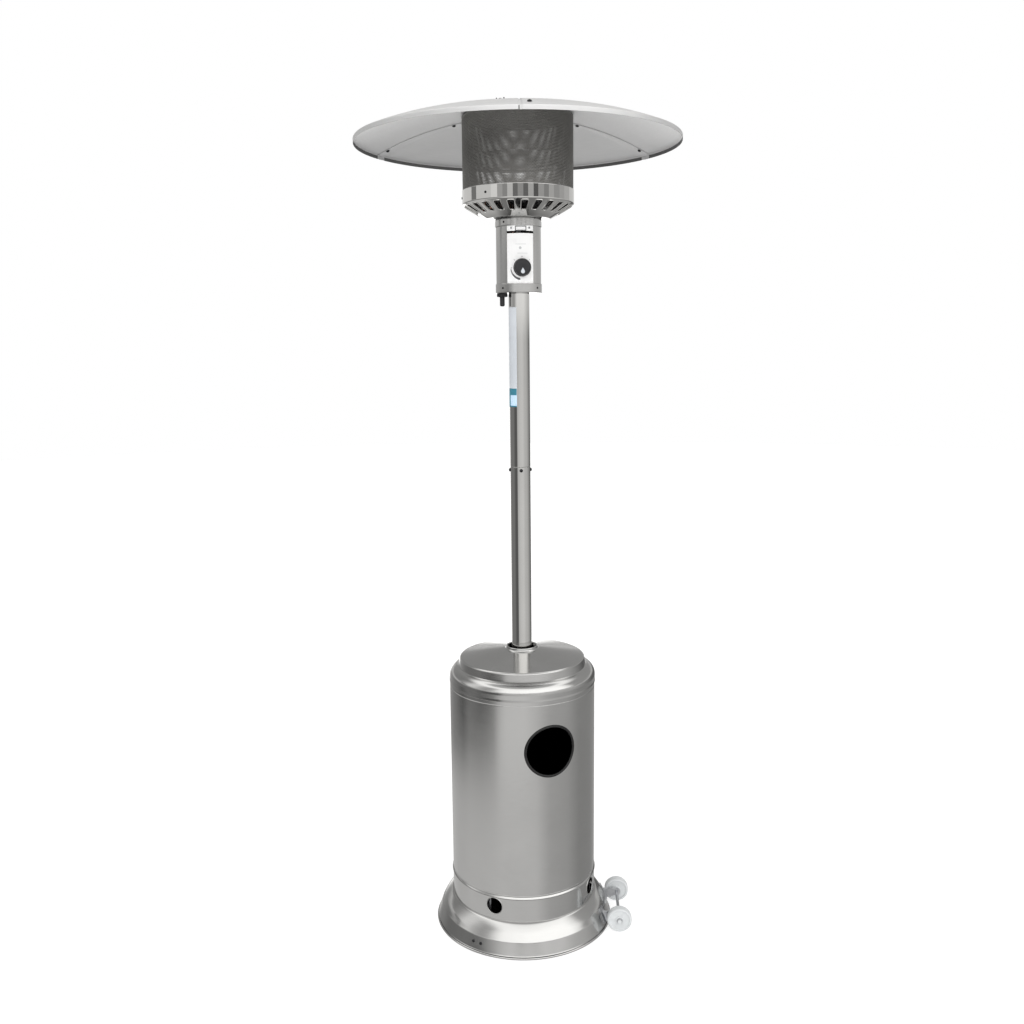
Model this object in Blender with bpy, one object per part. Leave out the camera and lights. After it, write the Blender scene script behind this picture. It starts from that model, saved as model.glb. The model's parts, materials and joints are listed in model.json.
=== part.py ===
"""Free-standing gas patio heater: pan base with a lift-up cylinder housing, a two-piece post,
a control head, a slotted burner bowl with an emitter screen, and a three-petal reflector.

Metres, +Z up. The origin is where the post's axis meets the floor, and the controls face -Y.
An azimuth is measured about +Z from -Y towards +X, in degrees.
"""

from math import asin, atan2, cos, degrees, pi, radians, sin

import bmesh
import bpy
from mathutils import Matrix, Vector

# ---------------------------------------------------------------- driving dimensions
GAP = 0.0003  # clearance between touching pieces
SHEET = 0.0010  # thickness of the pressed sheet metal
HOUSING_SHEET = 0.0008
BIG, MID, SMALL, TINY = 32, 20, 12, 8  # facets round large, middle, small and tiny turned pieces

BASE_R = 0.2412  # rolled edge of the pan
COLLAR_R = 0.1950  # upright wall of the skirt
COLLAR_TOP = 0.1488
PAN_TOP = 0.0120
VENT_R, VENT_Z, VENT_AZ = 0.0225, 0.1180, -28.5
SKIRT_SCREW_Z, SKIRT_SCREW_AZ = 0.0255, (-40.0, -34.3)

HOUSING_R = 0.1947
HOUSING_BOTTOM = COLLAR_TOP + GAP
HOUSING_TOP = 0.6880
HAND_R, HAND_Z, HAND_AZ = 0.0700, 0.5430, 17.0
TRIM_BEAD = 0.0032  # half the thickness of the hand hole's edge trim

LEG_AZ = (-37.2, 82.8, 202.8)
LEG_R = 0.1820  # middle of the upright bar
LEG_TOP = 0.7000
LEG_BEND = 0.0480

POST_R, POST_WALL = 0.0264, 0.0012
POST_BOTTOM = 0.7054
POST_SEAM = 1.2535
POST_TOP = 1.7115
SWAGE_R = POST_R - POST_WALL - GAP
SWAGE_LENGTH = 0.0480
POST_SCREW_Z = 1.2455

WHEEL_AZ = 82.8
WHEEL_R, WHEEL_WIDTH = 0.0330, 0.0240
AXLE_R, AXLE_RADIUS, AXLE_Z = 0.0040, 0.2610, 0.0340  # rod radius, place from the post, height
WHEEL_OFFSET = 0.0796  # wheel's middle along the axle from the axle's middle
ARM_OFFSET = 0.0615  # the same for the arms
AXLE_SHIFT = -0.0120  # the axle's middle along the tangent, towards the front
ARM_SHEET, FOOT_HALF_ANGLE = 0.0030, 3.0

HEAD_R = 0.0567
BAND_R = 0.0585
HEAD_BOTTOM, HEAD_TOP = 1.6970, 1.8700
LOWER_BAND_TOP, UPPER_BAND_BOTTOM = 1.7195, 1.8590
PANEL_HALF_ANGLE = 35.0
PANEL_TOP, STRIP_BOTTOM = 1.8405, 1.8462

KNOB_Z, KNOB_R = 1.7570, 0.0222
KNOB_X, KNOB_PUSH = 0.0035, 0.005
IGNITER_X = -0.0425

VALVE_TOP = 1.7783  # foot of the jet and of the two pilot lines
PILOT_R, PILOT_NECK = 0.0880, 0.0178  # the lines' distance from the axis at the pilot and in the neck

BOWL_FLAT_R, BOWL_FLAT_Z = 0.0800, 1.8790
RING_R, RING_BOTTOM, RING_TOP = 0.1402, 1.9140, 1.9495
SLOTS, SLOT_AZ, SLOT_WIDTH = 24, 2.3, 9.0  # count, middle of one slot, degrees of opening
SLOT_R = (0.0990, 0.1375)

SCREEN_R, SCREEN_BOTTOM, SCREEN_TOP = 0.1387, 1.9250, 2.1238
STUD_CIRCLE, STUD_AZ = 0.1300, (-23.0, 97.0, 217.0)
STUD_R, STUD_SHOULDER_R, STUD_TOP = 0.0030, 0.0065, 2.1432

DISH_R, DISH_APEX, DISH_DROP, DISH_POWER = 0.4065, 2.1325, 0.0645, 2.6
LIP_BOTTOM = 2.0575
DISH_HOLE = 0.0080
SEAM_AZ = (-122.0, -3.5, 118.0)
LAP, LAP_SETBACK, LAP_STEP = 3.4, 1.4, 0.6  # degrees: flap, where it leaves the dish, its joggle
LAP_DROP = 0.0015
GAP_ANGLE, COLUMN_PITCH = 0.1, 10.0  # degrees
SEAM_BOLT_R = (0.1800, 0.3780)
BOLT_FROM_EDGE = 0.0060

# ---------------------------------------------------------------- scene and materials
for old in list(bpy.data.objects):
    bpy.data.objects.remove(old, do_unlink=True)


def material(name, colour, roughness, metallic):
    """A plain Principled material."""
    made = bpy.data.materials.new(name)
    made.use_nodes = True
    shader = made.node_tree.nodes["Principled BSDF"]
    shader.inputs["Base Color"].default_value = (*colour, 1.0)
    shader.inputs["Roughness"].default_value = roughness
    shader.inputs["Metallic"].default_value = metallic
    return made


BRUSHED = material("brushed_steel", (0.60, 0.60, 0.58), 0.30, 1.0)
POLISHED = material("polished_steel", (0.72, 0.72, 0.70), 0.12, 1.0)
DISH_METAL = material("reflector_aluminium", (0.82, 0.82, 0.82), 0.45, 1.0)
SCREEN_METAL = material("emitter_mesh", (0.30, 0.30, 0.29), 0.45, 1.0)
GALVANISED = material("galvanised_steel", (0.50, 0.51, 0.52), 0.45, 1.0)
PANEL_METAL = material("panel_steel", (0.86, 0.86, 0.86), 0.20, 1.0)
BRASS = material("brass", (0.70, 0.52, 0.25), 0.30, 1.0)
COPPER = material("copper", (0.70, 0.38, 0.26), 0.30, 1.0)
CAST_ALLOY = material("cast_alloy", (0.55, 0.55, 0.56), 0.50, 1.0)
DARK_SCREW = material("dark_screw", (0.05, 0.05, 0.05), 0.35, 1.0)
BLACK_PLASTIC = material("black_plastic", (0.02, 0.02, 0.022), 0.35, 0.0)
BLACK_RUBBER = material("black_rubber", (0.015, 0.015, 0.015), 0.30, 0.0)
LIGHT_PLASTIC = material("light_plastic", (0.80, 0.80, 0.80), 0.45, 0.0)
CERAMIC = material("ceramic", (0.85, 0.83, 0.78), 0.30, 0.0)
LEAD_SLEEVE = material("lead_sleeve", (0.45, 0.08, 0.06), 0.50, 0.0)


# ---------------------------------------------------------------- small geometry tools
def polar(radius, azimuth, z=0.0):
    """A point at that radius and azimuth."""
    return Vector((radius * sin(radians(azimuth)), -radius * cos(radians(azimuth)), z))


def placed_at(azimuth):
    """Local +X points outward at that azimuth, local +Y along the tangent, local +Z up."""
    return Matrix.Rotation(radians(azimuth - 90), 4, "Z")


TO_FRONT = Matrix.Rotation(radians(90), 4, "X")  # turns a piece's +Z towards -Y


def add_object(name, mesh, metal, helper=False):
    """Links a new object. A helper only shapes other pieces and isn't one itself."""
    made = bpy.data.objects.new(name, mesh)
    bpy.context.scene.collection.objects.link(made)
    if metal:
        mesh.materials.append(metal)
    if helper:
        made.hide_render = True
        made.display_type = "WIRE"
    return made


def finish_mesh(name, bm, metal, matrix=None, helper=False):
    """Turns a bmesh into an object, with its faces out and round surfaces smooth."""
    if matrix:
        bmesh.ops.transform(bm, matrix=matrix, verts=bm.verts)
    bmesh.ops.recalc_face_normals(bm, faces=bm.faces)
    mesh = bpy.data.meshes.new(name)
    bm.to_mesh(mesh)
    bm.free()
    mesh.shade_smooth()
    mesh.set_sharp_from_angle(angle=radians(35))
    return add_object(name, mesh, metal, helper)


def turned_bmesh(bm, outline, facets=MID, start=0.0, sweep=360.0):
    """Adds the closed outline, in (radius, height), turned about Z from that azimuth."""
    full = sweep >= 360.0
    steps = facets if full else facets + 1
    rings = []
    for step in range(steps):
        azimuth = start + sweep * step / facets
        ring = []
        for index, (radius, height) in enumerate(outline):
            if radius < 1e-6 and full and step:
                ring.append(rings[0][index])
            else:
                ring.append(bm.verts.new(polar(radius, azimuth, height)))
        rings.append(ring)
    count = len(outline)
    for step in range(facets):
        here, there = rings[step], rings[(step + 1) % steps]
        for index in range(count):
            after = (index + 1) % count
            corners = [here[index], here[after], there[after], there[index]]
            corners = list(dict.fromkeys(corners))
            if len(corners) > 2:
                bm.faces.new(corners)
    if not full:
        bm.faces.new(rings[0])
        bm.faces.new(rings[-1])


def turned(name, outline, metal, facets=MID, matrix=None, start=0.0, sweep=360.0, helper=False):
    """One turned solid from a closed outline in (radius, height)."""
    bm = bmesh.new()
    turned_bmesh(bm, outline, facets, start, sweep)
    return finish_mesh(name, bm, metal, matrix, helper)


def sleeve(inner, outer, bottom, top):
    """The outline of a plain upright wall, in (radius, height)."""
    return [(inner, bottom), (outer, bottom), (outer, top), (inner, top)]


def walled(line, thickness):
    """Closes an open line in (radius, height) into a wall, thickened to the right of its run."""
    inner = []
    for index, point in enumerate(line):
        here = Vector(point)
        sides = []
        for a, b in ((index - 1, index), (index, index + 1)):
            if a >= 0 and b < len(line):
                run = (Vector(line[b]) - Vector(line[a])).normalized()
                sides.append(Vector((run.y, -run.x)))
        side = (sides[0] + sides[-1]).normalized()
        inner.append(tuple(here + side * (thickness / side.dot(sides[0]))))
    return list(line) + inner[::-1]


def arc(centre, radius, first, last, steps):
    """Points of an arc in (radius, height), between two angles in degrees."""
    points = []
    for step in range(steps + 1):
        angle = radians(first + (last - first) * step / steps)
        points.append((centre[0] + radius * cos(angle), centre[1] + radius * sin(angle)))
    return points


def extruded(name, outline, depth, metal, matrix=None, helper=False):
    """A flat outline in local X and Z, extruded evenly to both sides along local Y."""
    bm = bmesh.new()
    near = [bm.verts.new((x, -depth / 2, z)) for x, z in outline]
    bm.faces.new(near)
    made = bmesh.ops.extrude_face_region(bm, geom=bm.faces[:])
    moved = [item for item in made["geom"] if isinstance(item, bmesh.types.BMVert)]
    bmesh.ops.translate(bm, vec=(0, depth, 0), verts=moved)
    return finish_mesh(name, bm, metal, matrix, helper)


def bar_bmesh(bm, start, end, radius, facets=SMALL):
    """Adds a round bar between two points."""
    run = Vector(end) - Vector(start)
    place = Matrix.Translation((Vector(start) + Vector(end)) / 2)
    place = place @ run.to_track_quat("Z", "Y").to_matrix().to_4x4()
    bmesh.ops.create_cone(
        bm, cap_ends=True, segments=facets, radius1=radius, radius2=radius,
        depth=run.length, matrix=place,
    )


def bars(name, ends, radius, metal=None, facets=SMALL, helper=True):
    """Separate round bars in one object, as a cutter or as parts to unite."""
    bm = bmesh.new()
    for start, end in ends:
        bar_bmesh(bm, start, end, radius, facets)
    return finish_mesh(name, bm, metal, None, helper)


def boolean(piece, helper, operation="DIFFERENCE"):
    """Cuts a helper from a piece, or unites the two."""
    step = piece.modifiers.new(operation.title(), "BOOLEAN")
    step.operation = operation
    step.solver = "EXACT"
    step.object = helper
    return piece


def tube(name, points, radius, metal):
    """A thin tube or wire through those points, rounded at its bends."""
    curve = bpy.data.curves.new(name, "CURVE")
    curve.dimensions = "3D"
    curve.bevel_depth = radius
    curve.bevel_resolution = 1
    curve.use_fill_caps = True
    spline = curve.splines.new("POLY")
    route = rounded(points)
    spline.points.add(len(route) - 1)
    for target, point in zip(spline.points, route):
        target.co = (*point, 1.0)
    return add_object(name, curve, metal)


def rounded(points, reach=0.0040, steps=2):
    """Replaces each inner corner of a route by a short quadratic bend."""
    points = [Vector(point) for point in points]
    route = [points[0]]
    for before, corner, after in zip(points, points[1:], points[2:]):
        enter = corner + (before - corner).normalized() * reach
        leave = corner + (after - corner).normalized() * reach
        for step in range(steps + 1):
            t = step / steps
            route.append(enter.lerp(corner, t).lerp(corner.lerp(leave, t), t))
    route.append(points[-1])
    return route


def joint_empty(name, place):
    """An empty on a joint's axis, for the pieces that move with it."""
    empty = bpy.data.objects.new(name, None)
    empty.location = place
    bpy.context.scene.collection.objects.link(empty)
    bpy.context.view_layer.update()
    return empty


def hang_on(empty, *pieces):
    """Parents pieces to an empty without moving them."""
    for piece in pieces:
        piece.parent = empty
        piece.matrix_parent_inverse = empty.matrix_world.inverted()


# ---------------------------------------------------------------- base
def flare_outline():
    """The skirt's outside from its hem up to the collar's upstand, in (radius, height)."""
    return [
        (BASE_R, 0.0066),
        (BASE_R, 0.0105),
        (0.2358, 0.0148),
        (0.2268, 0.0415),
        (0.2160, 0.0605),
        (0.2010, 0.0775),
        (COLLAR_R, 0.0805),
        (COLLAR_R, COLLAR_TOP - 0.0042),
        (COLLAR_R + 0.0013, COLLAR_TOP - 0.0024),
        (COLLAR_R + 0.0008, COLLAR_TOP),
        (0.1929, COLLAR_TOP),
        (0.1929, COLLAR_TOP + 0.0150),
    ]


def flare_point(height):
    """Radius of the skirt's outside at a height below the collar, and its slope angle."""
    line = flare_outline()
    for (r0, z0), (r1, z1) in zip(line, line[1:]):
        if z0 <= height <= z1:
            share = (height - z0) / (z1 - z0)
            return r0 + (r1 - r0) * share, atan2(r0 - r1, z1 - z0)
    raise ValueError(height)


def make_base():
    pan_line = [
        (0, PAN_TOP - 0.0020),
        (0.2300, PAN_TOP - 0.0020),
        (0.2350, 0),
        (0.2400, 0),
        (BASE_R, 0.0012),
        (BASE_R, 0.0058),
        (0.2362, 0.0058),
        (0.2330, PAN_TOP),
        (0, PAN_TOP),
    ]
    turned("base_pan", pan_line, BRUSHED, BIG)

    skirt = turned("base_skirt", walled(flare_outline()[::-1], SHEET), BRUSHED, BIG)
    vents = []
    for quarter in range(4):
        azimuth = VENT_AZ + 90 * quarter
        inside, outside = polar(COLLAR_R - 0.03, azimuth, VENT_Z), polar(COLLAR_R + 0.03, azimuth, VENT_Z)
        vents.append((inside, outside))
    boolean(skirt, bars("vent_cutter", vents, VENT_R, facets=16))

    head = [
        (0, -0.006), (0.0019, -0.006), (0.0019, GAP), (0.0042, GAP), (0.0036, 0.0016), (0, 0.0024),
    ]
    screw_holes = []
    radius, slope = flare_point(SKIRT_SCREW_Z)
    for number, azimuth in enumerate(SKIRT_SCREW_AZ, 1):
        place = Matrix.Translation(polar(radius, azimuth, SKIRT_SCREW_Z)) @ placed_at(azimuth)
        place = place @ Matrix.Rotation(pi / 2 - slope, 4, "Y")
        turned(f"skirt_screw_{number}", head, DARK_SCREW, TINY, place)
        screw_holes.append((place @ Vector((0, 0, -0.010)), place @ Vector((0, 0, 0.010))))
    boolean(skirt, bars("skirt_screw_cutter", screw_holes, 0.0023, facets=SMALL))


def make_legs():
    middle = [(0.1480, PAN_TOP + GAP + 0.0020)]
    middle += arc((LEG_R - 0.010, middle[0][1] + 0.010), 0.010, -90, 0, 3)
    middle += arc((LEG_R - LEG_BEND, LEG_TOP - 0.002 - LEG_BEND), LEG_BEND, 0, 90, 5)
    middle += [(0.0300, LEG_TOP - 0.002)]
    for number, azimuth in enumerate(LEG_AZ, 1):
        outline = walled(walled(middle, -0.002)[len(middle):][::-1], 0.004)
        extruded(f"support_leg_{number}", outline, 0.0250, GALVANISED, placed_at(azimuth))
    spigot_r = POST_R - POST_WALL - 2 * GAP
    mount = [
        (0.0200, LEG_TOP + GAP),
        (0.0550, LEG_TOP + GAP),
        (0.0550, POST_BOTTOM - GAP),
        (spigot_r, POST_BOTTOM - GAP),
        (spigot_r, 0.8000),
        (0.0220, 0.8000),
        (0.0200, 0.7900),
    ]
    turned("post_mount", mount, GALVANISED, MID)


# ---------------------------------------------------------------- post
def make_post():
    bore = POST_R - POST_WALL
    lower = turned("lower_post", sleeve(bore, POST_R, POST_BOTTOM, POST_SEAM), POLISHED, MID)
    swage_foot = POST_SEAM - SWAGE_LENGTH
    upper_line = [
        (SWAGE_R, swage_foot),
        (SWAGE_R, POST_SEAM + GAP),
        (POST_R, POST_SEAM + GAP + 0.0010),
        (POST_R, POST_TOP),
        (bore, POST_TOP),
        (bore, POST_SEAM + 0.0040),
        (SWAGE_R - POST_WALL, POST_SEAM - 0.0020),
        (SWAGE_R - POST_WALL, swage_foot),
    ]
    upper = turned("upper_post", upper_line, POLISHED, MID)

    head = [
        (0, -0.006), (0.0020, -0.006), (0.0020, GAP), (0.0046, GAP), (0.0040, 0.0022),
        (0.0020, 0.0036), (0, 0.0040),
    ]
    holes = []
    for quarter in range(4):
        azimuth = 90 * quarter
        place = Matrix.Translation(polar(POST_R, azimuth, POST_SCREW_Z)) @ placed_at(azimuth)
        place = place @ Matrix.Rotation(pi / 2, 4, "Y")
        turned(f"post_screw_{quarter + 1}", head, DARK_SCREW, TINY, place)
        holes.append((polar(0.0180, azimuth, POST_SCREW_Z), polar(0.0320, azimuth, POST_SCREW_Z)))
    cutter = bars("post_screw_cutter", holes, 0.0024, facets=SMALL)
    boolean(lower, cutter)
    boolean(upper, cutter)


# ---------------------------------------------------------------- cylinder housing
def make_housing():
    wall = sleeve(HOUSING_R - HOUSING_SHEET, HOUSING_R, HOUSING_BOTTOM, HOUSING_TOP)
    cylinder = turned("housing_cylinder", wall, BRUSHED, BIG)
    hole = [(polar(0.150, HAND_AZ, HAND_Z), polar(0.230, HAND_AZ, HAND_Z))]
    boolean(cylinder, bars("hand_hole_cutter", hole, HAND_R, facets=MID))

    curve = bpy.data.curves.new("hand_hole_trim", "CURVE")
    curve.dimensions = "3D"
    curve.bevel_depth = TRIM_BEAD
    curve.bevel_resolution = 1
    spline = curve.splines.new("POLY")
    spline.points.add(MID - 1)
    ring_r = HAND_R - TRIM_BEAD - 2 * GAP
    for step in range(MID):
        angle = 2 * pi * step / MID
        across = degrees(asin(ring_r * cos(angle) / HOUSING_R))
        point = polar(HOUSING_R - HOUSING_SHEET / 2, HAND_AZ + across, HAND_Z + ring_r * sin(angle))
        spline.points[step].co = (*point, 1.0)
    spline.use_cyclic_u = True
    trim = add_object("hand_hole_trim", curve, BLACK_RUBBER)

    lid_line = [
        (0.1958, 0.6770),
        (0.1958, 0.6840),
        *arc((0.1700, 0.6950), 0.0258, 0, 85, 3),
        (0.1704, 0.7240),
        (0.1670, 0.7435),
        (0.0450, 0.7640),
        (0.0422, 0.7705),
        (0.0385, 0.7722),
        (0.0372, 0.7640),
    ]
    lid = turned("housing_lid", walled(lid_line[::-1], HOUSING_SHEET), BRUSHED, BIG)
    hang_on(joint_empty("housing_lift_axis", (0, 0, HOUSING_BOTTOM)), cylinder, lid, trim)


# ---------------------------------------------------------------- wheels
def foot_outline():
    """Section of an arm's foot: a plate on the flare, too deep until it's trimmed to the skirt."""
    heights = (0.0165, 0.0415, 0.0520)
    outer = [(flare_point(z)[0] + ARM_SHEET, z) for z in heights]
    inner = [(flare_point(z)[0] - ARM_SHEET, z) for z in heights]
    return outer + inner[::-1]


def make_wheels():
    side = placed_at(WHEEL_AZ)
    along_axle = Matrix.Rotation(-pi / 2, 4, "X")  # a turned piece's +Z to local +Y
    middle = side @ Matrix.Translation((AXLE_RADIUS, AXLE_SHIFT, AXLE_Z))

    clearance_line = [(0.1800, -0.0100), (BASE_R + 2 * GAP, -0.0100)]
    clearance_line += [(r + 2 * GAP, z) for r, z in flare_outline()[:7]] + [(0.1800, 0.0840)]
    clearance = turned("skirt_clearance", clearance_line, None, BIG, helper=True)
    axle_line = (middle @ Vector((0, -0.1, 0)), middle @ Vector((0, 0.1, 0)))
    bore = bars("arm_bore_cutter", [axle_line], AXLE_R + GAP)
    for name, sign in (("wheel_arm_front", -1), ("wheel_arm_rear", 1)):
        tangent = AXLE_SHIFT + sign * ARM_OFFSET
        lug = [(0.2150, 0.0120), (0.2560, 0.0240)]
        lug += arc((AXLE_RADIUS, AXLE_Z), 0.0105, -60, 60, 4)
        lug += [(0.2560, 0.0440), (0.2150, 0.0460)]
        arm = extruded(name, lug, ARM_SHEET, GALVANISED, side @ Matrix.Translation((0, tangent, 0)))
        foot_az = WHEEL_AZ + degrees(asin(tangent / flare_point(AXLE_Z)[0])) - FOOT_HALF_ANGLE
        foot = turned(
            f"{name}_foot", foot_outline(), None, 3, start=foot_az, sweep=2 * FOOT_HALF_ANGLE, helper=True,
        )
        boolean(arm, foot, "UNION")
        boolean(arm, clearance)
        boolean(arm, bore)

    half_rod, half_end = WHEEL_OFFSET + WHEEL_WIDTH / 2 + 0.0006, 0.0960
    rod = [
        (0, -half_end), (0.0070, -half_end), (0.0078, -half_rod), (AXLE_R, -half_rod),
        (AXLE_R, half_rod), (0.0078, half_rod), (0.0070, half_end), (0, half_end),
    ]
    turned("wheel_axle", rod, GALVANISED, SMALL, middle @ along_axle)

    w = WHEEL_WIDTH / 2
    half_wheel = [
        (AXLE_R + GAP, w), (0.0110, w), (0.0120, w - 0.0030), (0.0255, w - 0.0030),
        (0.0270, w - 0.0008), (WHEEL_R, w - 0.0026),
    ]
    wheel_line = half_wheel + [(r, -z) for r, z in reversed(half_wheel)]
    for name, sign in (("wheel_front", -1), ("wheel_rear", 1)):
        hub = middle @ Matrix.Translation((0, sign * WHEEL_OFFSET, 0))
        wheel = turned(name, wheel_line, LIGHT_PLASTIC, MID, hub @ along_axle)
        hang_on(joint_empty(f"{name}_axis", hub.translation), wheel)


# ---------------------------------------------------------------- control head
def make_head_casing():
    base_line = [
        (POST_R + 2 * GAP, HEAD_BOTTOM), (BAND_R - 0.0010, HEAD_BOTTOM), (BAND_R, HEAD_BOTTOM + 0.0012),
        (BAND_R, LOWER_BAND_TOP), (BAND_R - 0.0010, LOWER_BAND_TOP), (BAND_R - 0.0010, HEAD_BOTTOM + 0.0015),
        (0.0286, HEAD_BOTTOM + 0.0015), (0.0286, POST_TOP), (POST_R + 2 * GAP, POST_TOP),
    ]
    head_base = turned("head_base", base_line, BRUSHED, BIG)
    igniter_hole = [((IGNITER_X, 0, HEAD_BOTTOM - 0.01), (IGNITER_X, 0, HEAD_BOTTOM + 0.01))]
    boolean(head_base, bars("igniter_hole_cutter", igniter_hole, 0.0088 + GAP))

    wall_bottom = HEAD_BOTTOM + 0.0040
    inner = HEAD_R - SHEET
    edge = degrees(GAP / HEAD_R)
    turned("head_shell", sleeve(inner, HEAD_R, wall_bottom, HEAD_TOP), BRUSHED, 30,
           start=PANEL_HALF_ANGLE + edge, sweep=360 - 2 * (PANEL_HALF_ANGLE + edge))

    panel = turned("control_panel", sleeve(inner, HEAD_R, wall_bottom, PANEL_TOP), PANEL_METAL, 10,
                   start=-PANEL_HALF_ANGLE, sweep=2 * PANEL_HALF_ANGLE)
    spindle_hole = [((KNOB_X, -0.070, KNOB_Z), (KNOB_X, -0.040, KNOB_Z))]
    boolean(panel, bars("spindle_hole_cutter", spindle_hole, 0.0060))

    strip = turned("panel_top_strip", sleeve(inner, HEAD_R, STRIP_BOTTOM, HEAD_TOP), PANEL_METAL, 10,
                   start=-PANEL_HALF_ANGLE, sweep=2 * PANEL_HALF_ANGLE)
    window = [(-0.0120, 1.8480), (0.0120, 1.8480), (0.0120, 1.8562), (-0.0120, 1.8562)]
    window_place = Matrix.Translation((0.001, -HEAD_R, 0))
    boolean(strip, extruded("strip_window_cutter", window, 0.02, None, window_place, helper=True))

    collar_line = [
        (BAND_R, UPPER_BAND_BOTTOM), (BAND_R, BOWL_FLAT_Z - GAP), (0.0320, BOWL_FLAT_Z - GAP),
        (0.0320, BOWL_FLAT_Z - GAP - 0.0014), (BAND_R - 0.0010, BOWL_FLAT_Z - GAP - 0.0014),
        (BAND_R - 0.0010, UPPER_BAND_BOTTOM),
    ]
    turned("head_collar", collar_line, BRUSHED, BIG)


def make_valve():
    bracket_line = [
        (-0.0220, 1.7355), (0.0400, 1.7355), (0.0400, HEAD_BOTTOM + 0.0018),
        (0.0415, HEAD_BOTTOM + 0.0018), (0.0415, 1.7370), (-0.0220, 1.7370),
    ]
    sideways = Matrix.Rotation(pi / 2, 4, "Z")  # local +X to +Y
    bracket = extruded("valve_bracket", bracket_line, 0.0360, GALVANISED, sideways)
    boolean(bracket, bars("bracket_hole_cutter", [((0, 0, 1.7300), (0, 0, 1.7420))], 0.0070))

    bm = bmesh.new()
    bmesh.ops.create_cube(bm, size=1.0)
    bmesh.ops.scale(bm, vec=(0.0360, 0.0400, 0.0400), verts=bm.verts)
    bmesh.ops.bevel(bm, geom=bm.edges[:], offset=0.0020, segments=2, affect="EDGES")
    body = finish_mesh("valve_body", bm, CAST_ALLOY, Matrix.Translation((0, 0, 1.7580)))
    bore = [((KNOB_X, -0.0300, KNOB_Z), (KNOB_X, 0.0100, KNOB_Z))]
    boolean(body, bars("valve_bore_cutter", bore, 0.0085, facets=SMALL))

    inlet = [
        (0.0030, 1.7050), (0.0070, 1.7050), (0.0070, 1.7180), (0.0090, 1.7180), (0.0090, 1.7280),
        (0.0060, 1.7290), (0.0060, 1.7377), (0.0030, 1.7377),
    ]
    turned("gas_inlet_fitting", inlet, BRASS, SMALL)
    jet = [
        (0.0010, VALVE_TOP), (0.0070, VALVE_TOP), (0.0070, 1.7900), (0.0045, 1.7920),
        (0.0035, 1.8020), (0.0010, 1.8030),
    ]
    turned("gas_jet", jet, BRASS, SMALL)

    at_knob = Matrix.Translation((KNOB_X, 0, KNOB_Z)) @ TO_FRONT
    plug_line = [
        (0, -0.0095), (0.0082, -0.0095), (0.0082, 0.0260), (0.0036, 0.0260),
        (0.0036, -0.0040), (0, -0.0040),
    ]
    plug = turned("valve_plug", plug_line, BRASS, SMALL, at_knob)
    spindle_line = [(0, 0.0030), (0.0033, 0.0030), (0.0033, 0.0720), (0, 0.0720)]
    spindle = turned("valve_spindle", spindle_line, GALVANISED, SMALL, at_knob)
    back = HEAD_R + KNOB_PUSH + 0.0010
    knob_line = [
        (0.0036, back), (KNOB_R, back), (KNOB_R, back + 0.0030), (0.0205, back + 0.0045),
        (0.0198, back + 0.0150), (0.0180, back + 0.0170), (0, back + 0.0176),
        (0, 0.0723), (0.0036, 0.0723),
    ]
    knob = turned("control_knob", knob_line, BLACK_PLASTIC, MID, at_knob)
    turn_axis = joint_empty("knob_turn_axis", (KNOB_X, 0, KNOB_Z))
    push_axis = joint_empty("knob_push_axis", (KNOB_X, -HEAD_R, KNOB_Z))
    hang_on(turn_axis, plug, push_axis)
    bpy.context.view_layer.update()
    hang_on(push_axis, spindle, knob)


def make_igniter():
    place = Matrix.Translation((IGNITER_X, 0, 0))
    barrel = [
        (0, 1.7450), (0.0040, 1.7450), (0.0088, 1.7400), (0.0088, 1.6900), (0.0066, 1.6900),
        (0.0066, 1.7080), (0, 1.7080),
    ]
    turned("igniter_body", barrel, BLACK_PLASTIC, SMALL, place)
    nut = [
        (0.0088 + GAP, HEAD_BOTTOM - GAP), (0.0135, HEAD_BOTTOM - GAP), (0.0135, 1.6900),
        (0.0125, 1.6880), (0.0088 + GAP, 1.6880),
    ]
    turned("igniter_nut", nut, BLACK_PLASTIC, SMALL, place)
    button_line = [(0, 1.6990), (0.0062, 1.6990), (0.0062, 1.6700), (0.0054, 1.6660), (0, 1.6645)]
    button = turned("igniter_button", button_line, BLACK_PLASTIC, SMALL, place)
    hang_on(joint_empty("igniter_push_axis", (IGNITER_X, 0, HEAD_BOTTOM)), button)

    tilt = [(0, 1.7900), (0.0090, 1.7900), (0.0090, 1.8100), (0.0060, 1.8120), (0, 1.8120)]
    turned("tilt_switch", tilt, BLACK_PLASTIC, SMALL, Matrix.Translation((0.0400, 0.0120, 0)))


# ---------------------------------------------------------------- burner
def bowl_line():
    """The bowl's outside from the neck hole to the ring's top, in (radius, height)."""
    rise = (RING_BOTTOM - BOWL_FLAT_Z) / (RING_R - BOWL_FLAT_R)
    cone = [(r, BOWL_FLAT_Z + (r - BOWL_FLAT_R) * rise) for r in (BOWL_FLAT_R, *SLOT_R, RING_R)]
    return [(0.0220, BOWL_FLAT_Z)] + cone + [(RING_R, RING_TOP)]


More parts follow.
